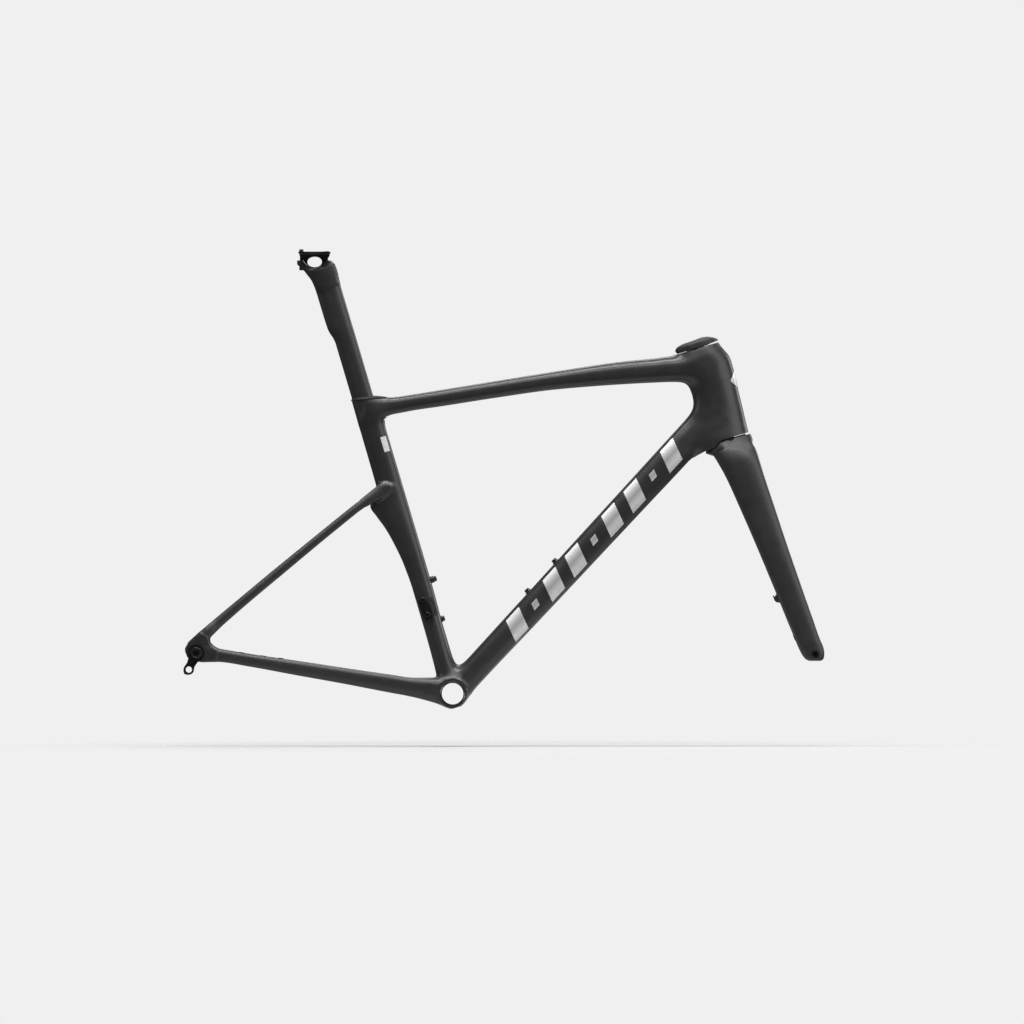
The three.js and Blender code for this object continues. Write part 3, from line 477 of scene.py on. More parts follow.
def turned(name, profile, base, direction, soft=0.3, sides=48):
    """A profile of (radius, height) turned about a line; it ends on the line or closes on itself."""
    points = softened(profile, soft) if soft else [np.array(p, float) for p in profile]
    closed = np.allclose(points[0], points[-1])
    if closed:
        points = points[:-1]
    axis = Vector(direction).normalized()
    turn = np.array(Vector((0, 0, 1)).rotation_difference(axis).to_matrix())
    angles = np.arange(sides) * 2 * math.pi / sides
    vertices, rings = [], []
    for radius, height in points:
        first = len(vertices)
        if radius < TINY:
            vertices.append((0, 0, height))
            rings.append([first] * sides)
        else:
            vertices += [(radius * math.cos(a), radius * math.sin(a), height) for a in angles]
            rings.append(list(range(first, first + sides)))
    faces = []
    pairs = list(zip(rings, rings[1:])) + ([(rings[-1], rings[0])] if closed else [])
    for low, high in pairs:
        for i in range(sides):
            j = (i + 1) % sides
            face = [low[i], low[j], high[j], high[i]]
            face = [v for k, v in enumerate(face) if v != face[k - 1]]
            if len(face) > 2:
                faces.append(face)
    placed = np.array(vertices) @ turn.T + np.array(base, float)
    return outward(new_object(name, placed, faces))


def ring(inner, outer, low, high):
    return [(inner, low), (outer, low), (outer, high), (inner, high), (inner, low)]


def disc(radius, low, high):
    return [(0, low), (radius, low), (radius, high), (0, high)]


def in_space(point, y=0.0):
    return (point[0], y, point[1])


STEER_BASE = in_space(AHEAD * STEER_OFFSET)
STEER_UP = in_space(UP)
ACROSS = (0, 1, 0)
UPRIGHT = (0, 0, 1)


def on_steering(name, profile, soft=0, sides=72):
    return turned(name, profile, STEER_BASE, STEER_UP, soft, sides)


def bore(centre, radius, low, high, sides=72):
    return turned("bore", disc(radius, low, high), in_space(centre), ACROSS, soft=0, sides=sides)


def loft(name, rows, along, across, power=2.6, sides=64):
    """A closed skin over rows of (s, high edge, low edge, half width) along a line through the origin."""
    angles = np.arange(sides) * 2 * math.pi / sides
    c, s = (np.sign(v) * np.abs(v) ** (2 / power) for v in (np.cos(angles), np.sin(angles)))
    vertices, faces = [], []
    for place, high, low, wide in rows:
        heights = (high + low) / 2 + (high - low) / 2 * c
        vertices += [in_space(along * place + across * n, y) for n, y in zip(heights, wide * s)]
    last = (len(rows) - 1) * sides
    for first in range(0, last, sides):
        faces += strip(first, first + sides, sides)
    faces += [list(range(sides)), list(range(last, last + sides))]
    return outward(new_object(name, vertices, faces))


# ---- seatpost, cover and lens ----
POST_FRONT, POST_REAR, POST_HALF = 13.6, -20.2, 11.2
POST_ROWS = [  # along the seat axis: front edge, rear edge, half width
    (391, POST_FRONT, POST_REAR, POST_HALF), (584, POST_FRONT, POST_REAR, POST_HALF),
    (594, 13.6, -21.6, 11.5), (604, 13.5, -24.6, 11.9), (613, 13.5, -25.9, 12.1), (694, 13.4, -26.8, 12.5),
    (704, 13, -29, 12.2),
]
POST_HEAD = [
    *seat_outline((676, -20), (692, -26.4), (697, -29.3), (709, -35), (717, -40), (722.4, -43)),
    (-246.4, 690), (-195.6, 690), *seat_outline((709, 12.4), (692, 13.2), (676, 10)),
]
HEAD_TOP = 686.6
CLAMP_SEAT_RADIUS = 21.3
SCOOP_RADII = (11.6, 8.4)
TILT_AT = (TILT[0] / MM, TILT[2] / MM)
SCOOP_AT = (TILT_AT[0], TILT_AT[1] - 12.6)
BOLT_ROOMS = [((-250, 660), (-233, 700)), ((-207, 664), (-188, 700))]


def rectangle(low, high):
    return [(low[0], low[1]), (high[0], low[1]), (high[0], high[1]), (low[0], high[1])]


def scoop():
    return through(ellipse(SCOOP_AT, *SCOOP_RADII), 40)


def seatpost_shell():
    post = Tube(UP, AHEAD, POST_ROWS, 2.6, end=1.0)
    head = Plate(POST_HEAD, -20, 10.6, end=6.5)
    piece = shell("seatpost_shell", Union([(post, 0.0), (head, 12.0)]), 1.4)
    top = through(rectangle((-300, HEAD_TOP), (-150, 760)), 40)
    seat = bore(TILT_AT, CLAMP_SEAT_RADIUS, -40, 40, 96)
    slots = [through(rectangle(low, high), 3.8) for low, high in BOLT_ROOMS]
    cut_away(piece, [top, seat, scoop(), *slots])
    return piece


def post_room(extra, low, high):
    rows = [(s, POST_FRONT + extra, POST_REAR - extra, POST_HALF + extra) for s in (low, high)]
    return loft("post_room", rows, UP, AHEAD)


LEAF_ROWS = [  # along the top of the head tube: top, underside, half width
    (-31.6, 420.6, 419.2, 2), (-30, 423, 416, 8), (-25.5, 425.8, 412, 14.5), (-18, 427.6, 410, 20),
    (-6, 429, 409, 24), (9, 429.8, 408.8, 24.4), (22, 428.6, 409.4, 22), (31, 425, 411, 16.6),
    (36.4, 421.4, 414, 9), (38.6, 418.8, 416.4, 2),
]


def headset_leaf():
    rows = np.array(LEAF_ROWS).T
    places = np.linspace(rows[0][0], rows[0][-1], 56)
    top, low, wide = (smooth_curve(rows[0], row, places) for row in rows[1:])
    sections = list(zip(places + STEER_OFFSET, top, low, wide))
    piece = loft("headset_leaf", sections, AHEAD, UP, power=3.2, sides=96)
    under = steer_outline((400, -60), (415.2, -60), (415.2, 20), (416.4, 26), (418.8, 60), (400, 60))
    cut_away(piece, [through(under, 40), on_steering("hole", disc(16.6, 400, 440))])
    return piece


SEAT_TOP = [np.array([-176.0, 462.36]), np.array([-90.0, 468.5])]
LENS_LIFT = np.array([0.0, 0.3])
BRACKET_FACE = 33.6
SLEEVE_ROOM = 19.5
REAR_END = -182.0


def cluster_lens():
    rows = [  # by x: top, underside, half width
        (-161, 466, 463.6, 3), (-154, 469.6, 461.6, 11), (-140, 471.8, 461.6, 15.4),
        (-124, 472.4, 463.6, 13.6), (-112, 471.6, 465.4, 8.6), (-102.6, 469.9, 467.6, 3),
    ]
    body = Tube(X_AXIS, Z_AXIS, rows, 2.2, end=1.0)
    piece = shell("seat_cluster_lens", Union([(body, 0.0)]), 0.9)
    under = through([SEAT_TOP[0] + LENS_LIFT, SEAT_TOP[1] + LENS_LIFT, (-90, 440), (-180, 440)], 40)
    cut_away(piece, [under, post_room(0.25, 440, 520)])
    return piece


def frame_shell():
    piece = shell("frame_shell", frame_field(), 2.2)
    ends = [bore((0, 0), 44, low, high, 48) for low, high in ((BRACKET_FACE, 60), (-60, -BRACKET_FACE))]
    head_bore = on_steering("head_bore", [
        (0, 230), (26.2, 230), (26.2, 273), (20.6, 273), (20.6, 403.8), (23.7, 403.8), (23.7, 440), (0, 440),
    ], sides=96)
    head_top = steer_outline((HEAD_TUBE_TOP, -33.5), (HEAD_TUBE_TOP, 70), (450, 70), (450, -33.5))
    shoulder = on_steering("shoulder", [
        (0, 190), (32.4, 190), (32.4, 252), (29.8, 261.2), (27.6, HEAD_TUBE_BOTTOM), (0, HEAD_TUBE_BOTTOM),
    ], sides=96)
    front_low = steer_outline((190, -3), (HEAD_TUBE_BOTTOM, -3), (HEAD_TUBE_BOTTOM, 80), (190, 80))
    chin = steer_outline((190, -62), (246.6, -62), (251.6, -46), (254.6, -32), (256, -2), (190, -2))
    seat_top = through([SEAT_TOP[0], (-103.6, 467.5), (-112, 530), (-200, 530)], 40)
    pocket = through(seat_outline((446, 8), (446, 25.4), (500, 25.4), (500, 8)), 8.4)
    sleeve = bore((0, 0), SLEEVE_ROOM, -60, 60, 96)
    rear = through(rectangle((-500, -50), (REAR_END, 320)), 120)
    cut_away(piece, [*ends, sleeve, head_bore, through(head_top, 60), shoulder, through(front_low, 60),
                     through(chin, 60), seat_top, post_room(0.35, 338, 520), pocket, rear])
    return piece


def rear_end(name, side):
    """One dropout and its two stays, at a finer grain than the rest."""
    inner, outer = 14.0, 84.0
    low = (-432, min(side * inner, side * outer), 4)
    high = (REAR_END + 14, max(side * inner, side * outer), 304)
    piece = shell(name, frame_field(), 1.35, low, high)
    front = through(rectangle((REAR_END, -50), (REAR_END + 60, 340)), 120)
    cut_away(piece, [front, bore(REAR_AXLE, 6.3, -95, 95)])
    return piece


def fork_shell():
    piece = shell("fork_shell", fork_field(), 1.7)
    top = through(steer_outline((CROWN_TOP, -80), (CROWN_TOP, 80), (300, 80), (300, -80)), 60)
    round_rear = on_steering("round_rear", [
        (31.2, 249), (31.2, 251), (28.6, CROWN_TOP - 3), (27, CROWN_TOP), (27, 275), (90, 275), (90, 249),
        (31.2, 249),
    ], sides=96)
    front = steer_outline((240, -6), (240, 120), (290, 120), (290, 66), (262, 20), (249, -4))
    cut_away(round_rear, [through(front, 95)])
    steerer = on_steering("steerer", disc(19.2, 247.4, 300))
    cut_away(piece, [top, round_rear, steerer, bore(FRONT_AXLE, 6.3, -75, 75)])
    return piece


# ---- finishes ----
def lay(tree, kind, links=None, values=None, **settings):
    """A shader node: settings are its own choices, values its unlinked sockets."""
    node = tree.nodes.new("ShaderNode" + kind)
    for key, value in settings.items():
        setattr(node, key, value)
    for key, value in (values or {}).items():
        node.inputs[key].default_value = value
    for key, source in (links or {}).items():
        tree.links.new(source, node.inputs[key])
    return node


def grey(value, warmth=0.0):
    return (value * (1 + warmth), value, value * (1 - warmth), 1.0)


def ramp(tree, source, stops):
    """A colour ramp with stops of (place, colour)."""
    node = lay(tree, "ValToRGB", {"Fac": source})
    elements = node.color_ramp.elements
    while len(elements) < len(stops):
        elements.new(0.5)
    for element, (place, colour) in zip(elements, stops):
        element.position, element.color = place, colour
    return node.outputs["Color"]


class Finish:
    """A material under construction, with the object's own coordinates."""

    def __init__(self, name, **values):
        self.material = bpy.data.materials.new(name)
        self.material.use_nodes = True
        self.tree = self.material.node_tree
        self.shader = self.tree.nodes["Principled BSDF"]
        for key, value in values.items():
            self.shader.inputs[key.replace("_", " ")].default_value = value
        self.place = lay(self.tree, "TexCoord").outputs["Object"]

    def noise(self, scale, detail=3.0, stretch=None, roughness=0.5):
        place = self.place
        if stretch:
            place = lay(self.tree, "Mapping", {"Vector": place}, {"Scale": stretch}).outputs["Vector"]
        node = lay(self.tree, "TexNoise", {"Vector": place},
                   {"Scale": scale, "Detail": detail, "Roughness": roughness})
        return node.outputs["Fac"]

    def colour(self, source):
        self.tree.links.new(source, self.shader.inputs["Base Color"])

    def shade(self, source, dark, light, warmth=0.0, low=0.3, high=0.7):
        """A grey that follows a noise, from dark at low to light at high."""
        self.colour(ramp(self.tree, source, [(low, grey(dark, warmth)), (high, grey(light, warmth))]))

    def rough(self, source, low, high):
        """A roughness that follows a noise."""
        node = lay(self.tree, "MapRange", {"Value": source},
                   {"From Min": 0.3, "From Max": 0.7, "To Min": low, "To Max": high})
        self.tree.links.new(node.outputs["Result"], self.shader.inputs["Roughness"])

    def bump(self, source, depth_mm, strength=1.0):
        values = {"Strength": strength, "Distance": depth_mm * MM}
        links = {"Height": source}
        if self.shader.inputs["Normal"].is_linked:
            links["Normal"] = self.shader.inputs["Normal"].links[0].from_socket
        node = lay(self.tree, "Bump", links, values)
        self.tree.links.new(node.outputs["Normal"], self.shader.inputs["Normal"])


def satin_carbon():
    """Satin black paint with a faint orange peel and the drifting shade of hand-laid plies."""
    finish = Finish("satin_carbon", Coat_Weight=0.22, Coat_Roughness=0.3, Specular_IOR_Level=0.55)
    finish.shade(finish.noise(7.0, 4.0), 0.0105, 0.0150, -0.015, 0.25, 0.75)
    finish.rough(finish.noise(60.0, 4.0), 0.36, 0.45)
    finish.bump(finish.noise(420.0, 2.0), 0.05, 0.35)
    finish.bump(finish.noise(2600.0, 2.0), 0.012, 0.3)
    return finish.material


def bare_carbon():
    """Uncoated woven carbon, for the steerer."""
    finish = Finish("bare_carbon", Coat_Weight=0.25, Coat_Roughness=0.25)
    tree = finish.tree
    waves = []
    for direction in ("X", "Z"):
        wave = lay(tree, "TexWave", {"Vector": finish.place},
                   {"Scale": 110.0, "Distortion": 0.6, "Detail": 2.0}, bands_direction=direction)
        waves.append(wave.outputs["Fac"])
    weave = lay(tree, "Math", {0: waves[0], 1: waves[1]}, operation="MULTIPLY").outputs["Value"]
    finish.shade(weave, 0.012, 0.05, low=0.1)
    finish.rough(weave, 0.30, 0.5)
    finish.bump(weave, 0.12, 0.5)
    return finish.material


def metal(name, dark, light, low, high, metallic, stretch=None):
    """Metal with fine tool marks and an uneven polish."""
    finish = Finish(name, Metallic=metallic)
    finish.shade(finish.noise(90.0, 5.0), dark, light)
    marks = finish.noise(700.0, 3.0, stretch)
    finish.rough(marks, low, high)
    finish.bump(marks, 0.015, 0.5)
    return finish.material


def soft_black(name, dark, light, low, high, grain, depth):
    """Rubber or moulded plastic with a fine stipple."""
    finish = Finish(name, Specular_IOR_Level=0.4)
    finish.shade(finish.noise(45.0, 4.0), dark, light)
    stipple = finish.noise(grain, 2.0)
    finish.rough(stipple, low, high)
    finish.bump(stipple, depth, 0.6)
    return finish.material


FILM_LOW, FILM_HIGH = -19.0, 17.0


def silver_film_painted_sheen():
    """Silver film with painted light in its tone across the tube: a painted highlight bright above, mid grey
    between, and a painted floor reflection paler below.
    """
    finish = Finish("silver_film_painted_sheen", Metallic=0.25, Coat_Weight=0.3, Coat_Roughness=0.2)
    tree = finish.tree
    height = lay(tree, "VectorMath", {0: finish.place}, operation="DOT_PRODUCT")
    height.inputs[1].default_value = in_space(DOWN_ABOVE)
    painted_sheen_span = lay(tree, "MapRange", {"Value": height.outputs["Value"]},
               {"From Min": FILM_LOW * MM, "From Max": FILM_HIGH * MM})
    # Painted light: the ramp paints a highlight along the top of the film and a floor reflection along its
    # bottom.
    finish.colour(ramp(tree, painted_sheen_span.outputs["Result"], [
        (0.0, grey(0.62)), (0.22, grey(0.70)), (0.5, grey(0.40)), (0.72, grey(0.60)), (0.95, grey(0.93))]))
    finish.rough(finish.noise(900.0, 2.0), 0.30, 0.42)
    finish.bump(finish.noise(1500.0, 2.0), 0.006, 0.4)
    return finish.material


def paper():
    finish = Finish("paper", Roughness=0.7)
    finish.shade(finish.noise(300.0, 4.0), 0.50, 0.66, 0.02)
    finish.bump(finish.noise(2200.0, 3.0), 0.01, 0.5)
    return finish.material


CARBON = satin_carbon()
WEAVE = bare_carbon()
BLACK_METAL = metal("black_anodised", 0.005, 0.009, 0.2, 0.3, 0.3)
ALUMINIUM = metal("bare_aluminium", 0.52, 0.62, 0.26, 0.40, 1.0, stretch=(0.15, 1.0, 1.0))
STEEL = metal("steel", 0.34, 0.44, 0.22, 0.34, 1.0)
DARK_STEEL = metal("dark_steel", 0.03, 0.05, 0.26, 0.38, 0.8)
RUBBER = soft_black("rubber", 0.010, 0.015, 0.62, 0.8, 1500.0, 0.03)
GLOSS_BLACK = metal("gloss_black", 0.004, 0.008, 0.12, 0.22, 0.5)
PLASTIC = soft_black("moulded_plastic", 0.016, 0.022, 0.42, 0.55, 1100.0, 0.02)
# The silver film's colour holds a painted highlight above and a painted floor reflection below.
SILVER_PAINTED_SHEEN = silver_film_painted_sheen()
PAPER = paper()


def fit_out(piece, material, body, slot, *nodes):
    """Gives a piece its finish and its body, and hides the nodes it stands for; the slot is not used."""
    piece.data.materials.clear()
    piece.data.materials.append(material)
    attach(piece, body)
    if nodes:
        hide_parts(*nodes)
    return piece


# ---- films that follow the surface ----
def film(name, field, starts, inward, lift=0.05, thickness=0.3):
    """A thin closed skin on a field's surface, under a grid of start points."""
    rows, columns = np.shape(starts)[:2]
    points = np.reshape(starts, (-1, 3)).astype(float)
    for _ in range(90):
        points = points + np.array(inward, float) * (field(*points.T) * 0.8)[:, None]
    normal = changes(field, points, 0.1)
    normal /= np.linalg.norm(normal, axis=1)[:, None]
    count = rows * columns
    faces = []
    for r in range(rows - 1):
        for c in range(columns - 1):
            a = r * columns + c
            quad = [a, a + 1, a + columns + 1, a + columns]
            faces += [quad, [v + count for v in reversed(quad)]]
    numbers = np.arange(count).reshape(rows, columns)
    rim = [*numbers[0], *numbers[1:, -1], *numbers[-1, -2::-1], *numbers[-2:0:-1, 0]]
    faces += [[b, a, a + count, b + count] for a, b in zip(rim, rim[1:] + rim[:1])]
    sides = [points + normal * (lift - thickness), points + normal * lift]
    return outward(new_object(name, np.vstack(sides), faces))


FILM_SLANT = 0.42
FILM_START, FILM_END = 128.0, 520.0
FILM_BARS = [30, 12, 30, 30, 12, 30, 30, 12, 30]
FILM_GAP = 22.0


def side_films(field):
    """Slanted silver bars along both sides of the down tube: a plain stripe pattern."""
    total = sum(FILM_BARS) + FILM_GAP * (len(FILM_BARS) - 1)
    scale = (FILM_END - FILM_START) / total
    for side, side_name in ((-1, "right"), (1, "left")):
        at = FILM_START
        for number, width in enumerate(FILM_BARS, 1):
            low, high = (FILM_LOW, FILM_HIGH - 1.5) if width > 20 else (-7.0, 4.0)
            grid = [[in_space(down_point(a + FILM_SLANT * (n - FILM_LOW), n), side * 42.0)
                     for a in np.linspace(at, at + width * scale, 14)] for n in np.linspace(low, high, 22)]
            piece = film(f"side_film_{side_name}_{number}", field, grid, (0, -side, 0))
            fit_out(piece, SILVER_PAINTED_SHEEN, "frame", "plastic")
            at += (width + FILM_GAP) * scale


def head_badge(field):
    """A plain silver lozenge on the front of the head tube."""
    grid = []
    for s in np.linspace(337, 366, 26):
        half = 16.5 * max(0.0, 1 - (abs(s - 350) / 16.5) ** 1.6) + 1.0
        grid.append([in_space(steer_point(s, 70.0), y) for y in np.linspace(-half, half, 25)])
    piece = film("head_badge", field, grid, in_space(-AHEAD), lift=0.3, thickness=0.8)
    fit_out(piece, SILVER_PAINTED_SHEEN, "frame", "bare_metal")


def blank_label(field):
    """A blank pale label on the right of the seat tube."""
    grid = [[in_space(seat_point(s, t), -40.0) for t in np.linspace(5.5, 14.5, 8)]
            for s in np.linspace(397.5, 422.0, 16)]
    fit_out(film("blank_label", field, grid, ACROSS), PAPER, "frame", "plastic")


def port_gasket(field):
    """The rubber gasket of the wire port beside the front derailleur plate."""
    middle_s, middle_t = 141.5, 9.6
    grid = []
    for s in np.linspace(-1, 1, 24):
        half = 3.4 * math.sqrt(max(0.0, 1 - abs(s) ** 6)) + 0.5
        grid.append([in_space(seat_point(middle_s + 15.5 * s, middle_t + t), -40.0)
                     for t in np.linspace(-half, half, 9)])
    piece = film("port_gasket", field, grid, ACROSS, lift=1.0, thickness=1.6)
    slit = seat_outline(*[(middle_s + v, middle_t + u) for u, v in ellipse((0, 0), 0.8, 11.5, 32)])
    cut_away(piece, [prism(slit, -60, 0)], "EXACT")
    fit_out(piece, RUBBER, "frame", "rubber", "wire_port_grommet")


# ---- turned fittings ----
def reach_along(node, direction, inner):
    """How far a turned node reaches along a direction, given where it starts."""
    return 2 * float(side_middle(node) @ direction) - inner


def hex_socket(base, direction, flats, bottom, top):
    """A hexagonal cutter along a line."""
    return turned("socket", disc(flats / math.sqrt(3), bottom, top), base, direction, soft=0, sides=6)


def socket_bolt(name, profile, base, direction, soft, socket):
    """A turned bolt with a hexagonal socket, given as (across flats, bottom, top)."""
    piece = turned(name, profile, base, direction, soft)
    cut_away(piece, [hex_socket(base, direction, *socket)], "EXACT")
    return piece


BOLT_FOOT = 7.5


def cage_bolt(node, base, direction, reach):
    piece = socket_bolt(node + "_piece", [
        (0, BOLT_FOOT), (2.2, BOLT_FOOT), (2.5, 8.2), (2.5, reach - 3.2), (4.4, reach - 3.2),
        (4.4, reach - 1.6), (3.5, reach), (0, reach),
    ], base, direction, 0.35, (3.4, reach - 2.2, reach + 4))
    fit_out(piece, BLACK_METAL, "frame", "black_metal", node)


def cage_insert(node, base, direction, surface, top):
    piece = turned(node + "_piece", [
        (2.8, surface - 5), (3.8, surface - 5), (3.8, surface - 0.6), (5.6, surface - 0.6), (5.0, top - 0.3),
        (4.7, top), (2.8, top), (2.8, surface - 5),
    ], base, direction, soft=0.25)
    fit_out(piece, DARK_STEEL, "frame", "steel", node)


BOLT_HEAD = 3.5
BOTTLE_BOLTS = [  # tube, number, along, outwards, height of the tube's surface
    ("seat_tube", 1, UP, AHEAD, 18.0), ("seat_tube", 2, UP, AHEAD, 16.6),
    ("down_tube", 1, DOWN, DOWN_ABOVE, 19.7), ("down_tube", 2, DOWN, DOWN_ABOVE, 19.7),
]
def bottle_bolts():
    for tube, number, along, outwards, surface in BOTTLE_BOLTS:
        bolt = f"{tube}_bolt_{number}"
        reach = reach_along(bolt, outwards, BOLT_FOOT)
        base, direction = in_space(along * float(side_middle(bolt) @ along)), in_space(outwards)
        cage_bolt(bolt, base, direction, reach)
        cage_insert(f"{tube}_insert_{number}", base, direction, surface, reach - BOLT_HEAD)


def bush(field, node, body, slot, material, inner, outer, height, direction, sink=1.2):
    """A ring standing on a field's surface, near its node."""
    outwards = np.array(direction) / np.linalg.norm(direction)
    centre = middle(node) + outwards * 12
    for _ in range(60):
        centre = centre - outwards * 0.8 * float(field(*centre))
    piece = turned(node + "_piece", ring(inner, outer, -sink, height), centre, direction, soft=0.35)
    fit_out(piece, material, body, slot, node)


STAY_NORMAL = (0.144, 0, 0.99)
LEG_NORMAL = (-0.929, 0, -0.37)


def small_rings():
    fork = fork_field()
    for node in ("fork_brake_insert_1", "fork_brake_insert_2"):
        bush(fork, node, "fork", "bare_metal", DARK_STEEL, 2.6, 4.6, 0.6, LEG_NORMAL)
    for number in (1, 2):
        node = f"chainstay_brake_insert_{number}"
        bush(frame_surface, node, "frame", "bare_metal", DARK_STEEL, 2.6, 4.2, 0.3, STAY_NORMAL)
    bush(frame_surface, "brake_hose_grommet", "frame", "rubber", RUBBER, 2.7, 4.2, 0.6, STAY_NORMAL)
    bush(frame_surface, "rear_wire_grommet", "frame", "rubber", RUBBER, 1.3, 3.0, 0.7, (0, 1, 0))


THREAD_PITCH = 1.06
THREAD_LENGTH = 15.0
SLEEVE_HALF = 34.0


def bracket_sleeve():
    """The threaded sleeve: ridges inside both ends and a plain waist between."""
    outer, crest, root = 19.2, 17.2, 17.75
    profile = [(crest + 0.5, -SLEEVE_HALF), (outer - 0.4, -SLEEVE_HALF), (outer, -SLEEVE_HALF + 0.4),
               (outer, SLEEVE_HALF - 0.4), (outer - 0.4, SLEEVE_HALF), (crest + 0.5, SLEEVE_HALF)]
    turns = int(THREAD_LENGTH / THREAD_PITCH)
    high = [SLEEVE_HALF - 0.6 - i * THREAD_PITCH for i in range(turns)]
    for y in high:
        profile += [(crest, y), (root, y - THREAD_PITCH / 2)]
    profile += [(root + 0.1, high[-1] - THREAD_PITCH), (root + 0.1, -high[-1] + THREAD_PITCH)]
    for y in reversed(high):
        profile += [(root, -y + THREAD_PITCH / 2), (crest, -y)]
    profile.append(profile[0])
    piece = turned("bracket_sleeve", profile, (0, 0, 0), ACROSS, soft=0, sides=96)
    fit_out(piece, DARK_STEEL, "frame", "bare_metal", "bottom_bracket_sleeve")


def headset():
    """Bearings, race, ring, plug and bolt on the steering axis."""
    rows = [  # name, node, body, slot, finish, profile
        ("lower_bearing", "lower_headset_bearing", "frame", "steel", STEEL, [
            (19.9, 264.8), (21.4, 264.8), (21.7, 265.4), (24.0, 265.4), (24.3, 264.8), (25.9, 265.8),
            (25.9, 272.7), (19.9, 272.7), (19.9, 264.8)]),
        ("upper_bearing", "upper_headset_bearing", "frame", "steel", STEEL, [
            (18.4, 404.1), (23.4, 404.1), (23.4, 411.0), (22.4, 411.6), (21.9, 411.1), (19.8, 411.1),
            (19.4, 411.6), (18.4, 411.2), (18.4, 404.1)]),
        ("tapered_ring", "compression_ring", "fork", "bare_metal", ALUMINIUM, [
            (14.6, 405), (16.2, 405), (18.1, 410.5), (18.1, 413.6), (14.6, 413.6), (14.6, 405)]),
        ("steerer_plug", "expander_plug", "fork", "bare_metal", BLACK_METAL, [
            (3.4, 386), (9, 386), (11.6, 392), (11.6, 424.3), (14, 424.3), (14, 425.8), (10.5, 425.8),
            (9.8, 425.2), (6.6, 425.2), (6, 425.8), (3.4, 425.8), (3.4, 386)]),
    ]
    for name, node, body, slot, material, profile in rows:
        fit_out(on_steering(name, profile, 0.3), material, body, slot, node)
    bolt = socket_bolt("steerer_plug_bolt", [
        (0, 384), (2.7, 384), (3, 384.6), (3, 425.4), (5.2, 425.4), (5.2, 427), (4.6, 427.5), (0, 427.5),
    ], STEER_BASE, STEER_UP, 0.25, (4.6, 426, 436))
    fit_out(bolt, STEEL, "fork", "steel", "expander_bolt")
    steerer = on_steering("steerer_tube", [
        (12, 247.6), (19, 247.6), (19, 272), (14.3, 300), (14.3, 424), (12, 424), (12, 247.6),
    ], 0.4)
    fit_out(steerer, WEAVE, "fork", "carbon", "fork_steerer")


def crown_seal():
    """The dust seal on the crown, reaching forward under the head tube."""
    sides, low, high = 72, CROWN_TOP + 0.05, CROWN_TOP + 2.3
    rings = [(19.7, 19.7, 0.0, low), (32.5, 21.2, 5.5, low), (32.5, 21.2, 5.5, high - 0.5),
             (31.9, 20.8, 5.5, high), (19.7, 19.7, 0.0, high)]
    vertices, faces = [], []
    for number, (radius_t, radius_y, shift, s) in enumerate(rings):
        outline = ellipse((shift, 0), radius_t, radius_y, sides)
        vertices += [in_space(steer_point(s, t), y) for t, y in outline]
        faces += strip(number * sides, (number + 1) % len(rings) * sides, sides)
    piece = outward(new_object("crown_seal", vertices, faces))
    fit_out(piece, RUBBER, "fork", "steel", "crown_race")


def thru_axle(name, node, body, high):
    """An axle with a flanged head, a drive socket at each end and a threaded tip."""
    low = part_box(node)[0][1] / MM
    profile = [(0, low), (5.2, low), (5.9, low + 0.8)]
    for i in range(9):
        y = low + 1.2 + i * 1.5
        profile += [(6.0, y), (5.55, y + 0.75)]
    profile += [(6.0, low + 15), (6.0, high), (8.2, high), (9.0, high + 0.8), (9.0, high + 3.4),
                (8.0, high + 4.5), (0, high + 4.5)]
    base = in_space(side_middle(node))
    piece = turned(name, profile, base, ACROSS, soft=0.25, sides=64)
    ends = ((high - 2, high + 12), (low - 8, low + 7))
    cut_away(piece, [hex_socket(base, ACROSS, 6.0, *end) for end in ends], "EXACT")
    fit_out(piece, BLACK_METAL, body, "black_metal", node)


def wedge_parts():
    outline = seat_outline((449, 14.9), (449, 24.6), (472, 24.6), (474, 23), (474, 14.9))
    wedge = through(outline, 7.8, "post_wedge")
    base = in_space(AHEAD * 19.8)
    cut_away(wedge, [turned("hole", disc(2.8, 440, 500), base, STEER_UP, soft=0)], "EXACT")
    fit_out(bevel(wedge, 0.5), ALUMINIUM, "frame", "bare_metal", "seatpost_wedge")
    bolt = socket_bolt("post_wedge_bolt", [
        (0, 447.6), (2.4, 447.6), (2.4, 474.3), (3.9, 474.3), (3.9, 476.8), (3.4, 477.2), (0, 477.2),
    ], base, STEER_UP, 0.25, (3.4, 475.2, 490))
    fit_out(bolt, STEEL, "frame", "steel", "wedge_bolt")


# ---- hanger, derailleur plate ----
HANGER_EYE = np.array([-416.6, 38.9])


